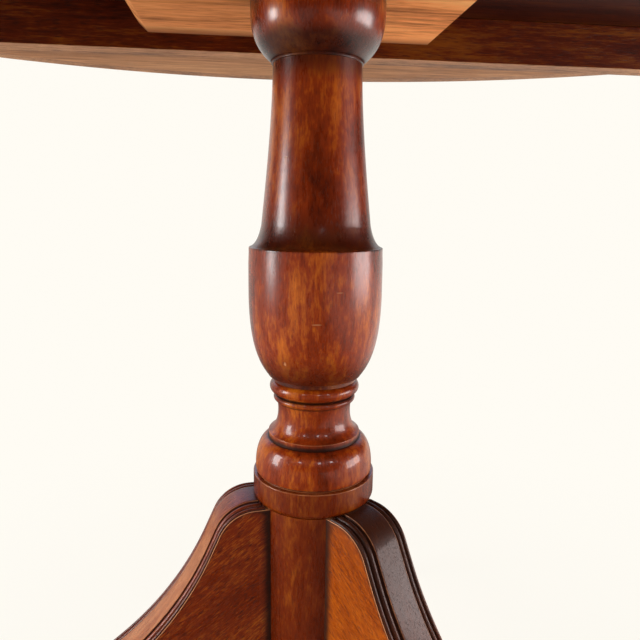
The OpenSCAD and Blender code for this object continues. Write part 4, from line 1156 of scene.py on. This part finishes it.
def photograph_camera():
    """Camera close under the edge of the top: 6.9 degrees right of +Y, 11.33 down and rolled 0.70."""
    place = (-0.0481, -0.4293, 0.538)
    yaw, pitch, roll = (math.radians(a) for a in (6.9, 11.33, 0.70))
    level = math.cos(pitch)
    forward = Vector((math.sin(yaw) * level, math.cos(yaw) * level, -math.sin(pitch)))
    right = Vector((math.cos(yaw), -math.sin(yaw), 0.0))
    up = right.cross(forward)
    tilted_up = up * math.cos(roll) - right * math.sin(roll)
    tilted_right = right * math.cos(roll) + up * math.sin(roll)
    data = bpy.data.cameras.new("camera")
    data.lens = 32.53
    data.sensor_width = 36.0
    data.clip_start = 0.02
    holder = bpy.data.objects.new("camera", data)
    axes = Matrix((tilted_right, tilted_up, -forward)).transposed()
    holder.matrix_world = Matrix.Translation(place) @ axes.to_4x4()
    bpy.context.scene.collection.objects.link(holder)
    bpy.context.scene.camera = holder


class DINING_OT_stage(bpy.types.Operator):
    """Set the floor, the room, the lamps and the camera"""

    bl_idname = "dining_table.stage"
    bl_label = "Stage"

    def execute(self, context):
        levels = context.scene.table_stage
        mesh = bpy.data.meshes.new("floor")
        r = 12.0
        mesh.from_pydata([(-r, -r, 0), (r, -r, 0), (r, r, 0), (-r, r, 0)], [], [(0, 1, 2, 3)])
        mesh.materials.append(paper_floor(levels))
        floor = bpy.data.objects.new("floor", mesh)
        context.scene.collection.objects.link(floor)
        paper_room(levels)
        middle = (0.0, 0.0, 0.45)
        lamp("left_window", levels.key, (0.97, 0.95, 0.94), (-4.4, -0.40, 1.5), middle, 1.2, 3.0)
        lamp("right_window", levels.fill, (1.0, 0.87, 0.85), (3.2, -0.75, 0.52), middle, 2.0, 1.0)
        for n, (x, y) in enumerate(((-1.35, -1.93), (0.25, -2.35), (1.22, -2.02))):
            lamp(f"pane_{n}", levels.pane, (0.93, 0.95, 1.0), (x, y, 1.62), middle, 0.22, 0.34)
        photograph_camera()
        context.scene.view_settings.view_transform = "Standard"
        return {"FINISHED"}


class DINING_PT_table(bpy.types.Panel):
    """Steps and settings of the dining table"""

    bl_idname = "DINING_PT_table"
    bl_label = "Dining table"
    bl_space_type = "VIEW_3D"
    bl_region_type = "UI"
    bl_category = "Table"

    def draw(self, context):
        for step in STEPS:
            self.layout.operator(step.bl_idname)
        for name, group in SETTINGS.items():
            box = self.layout.box()
            for label in group.__annotations__:
                box.prop(getattr(context.scene, name), label)


STEPS = (DINING_OT_turnings, DINING_OT_legs, DINING_OT_lippings, DINING_OT_top, DINING_OT_underframe,
         DINING_OT_gearing, DINING_OT_metalwork, DINING_OT_stage)
SETTINGS = {"table_turning": TurningSizes, "table_leg": LegSizes, "table_top": TopSizes,
            "table_colours": FinishColours, "table_stage": StageLevels}


def register():
    """Register the classes and hang the settings on the scene."""
    for item in (*SETTINGS.values(), *STEPS, DINING_PT_table):
        bpy.utils.register_class(item)
    for name, group in SETTINGS.items():
        setattr(bpy.types.Scene, name, PointerProperty(type=group))


def unregister():
    """Take the settings and the classes away again."""
    for name in SETTINGS:
        delattr(bpy.types.Scene, name)
    for item in reversed((*SETTINGS.values(), *STEPS, DINING_PT_table)):
        bpy.utils.unregister_class(item)


def main():
    register()
    for step in STEPS:
        getattr(bpy.ops.dining_table, step.bl_idname.split(".")[1])()


if __name__ == "__main__":
    main()
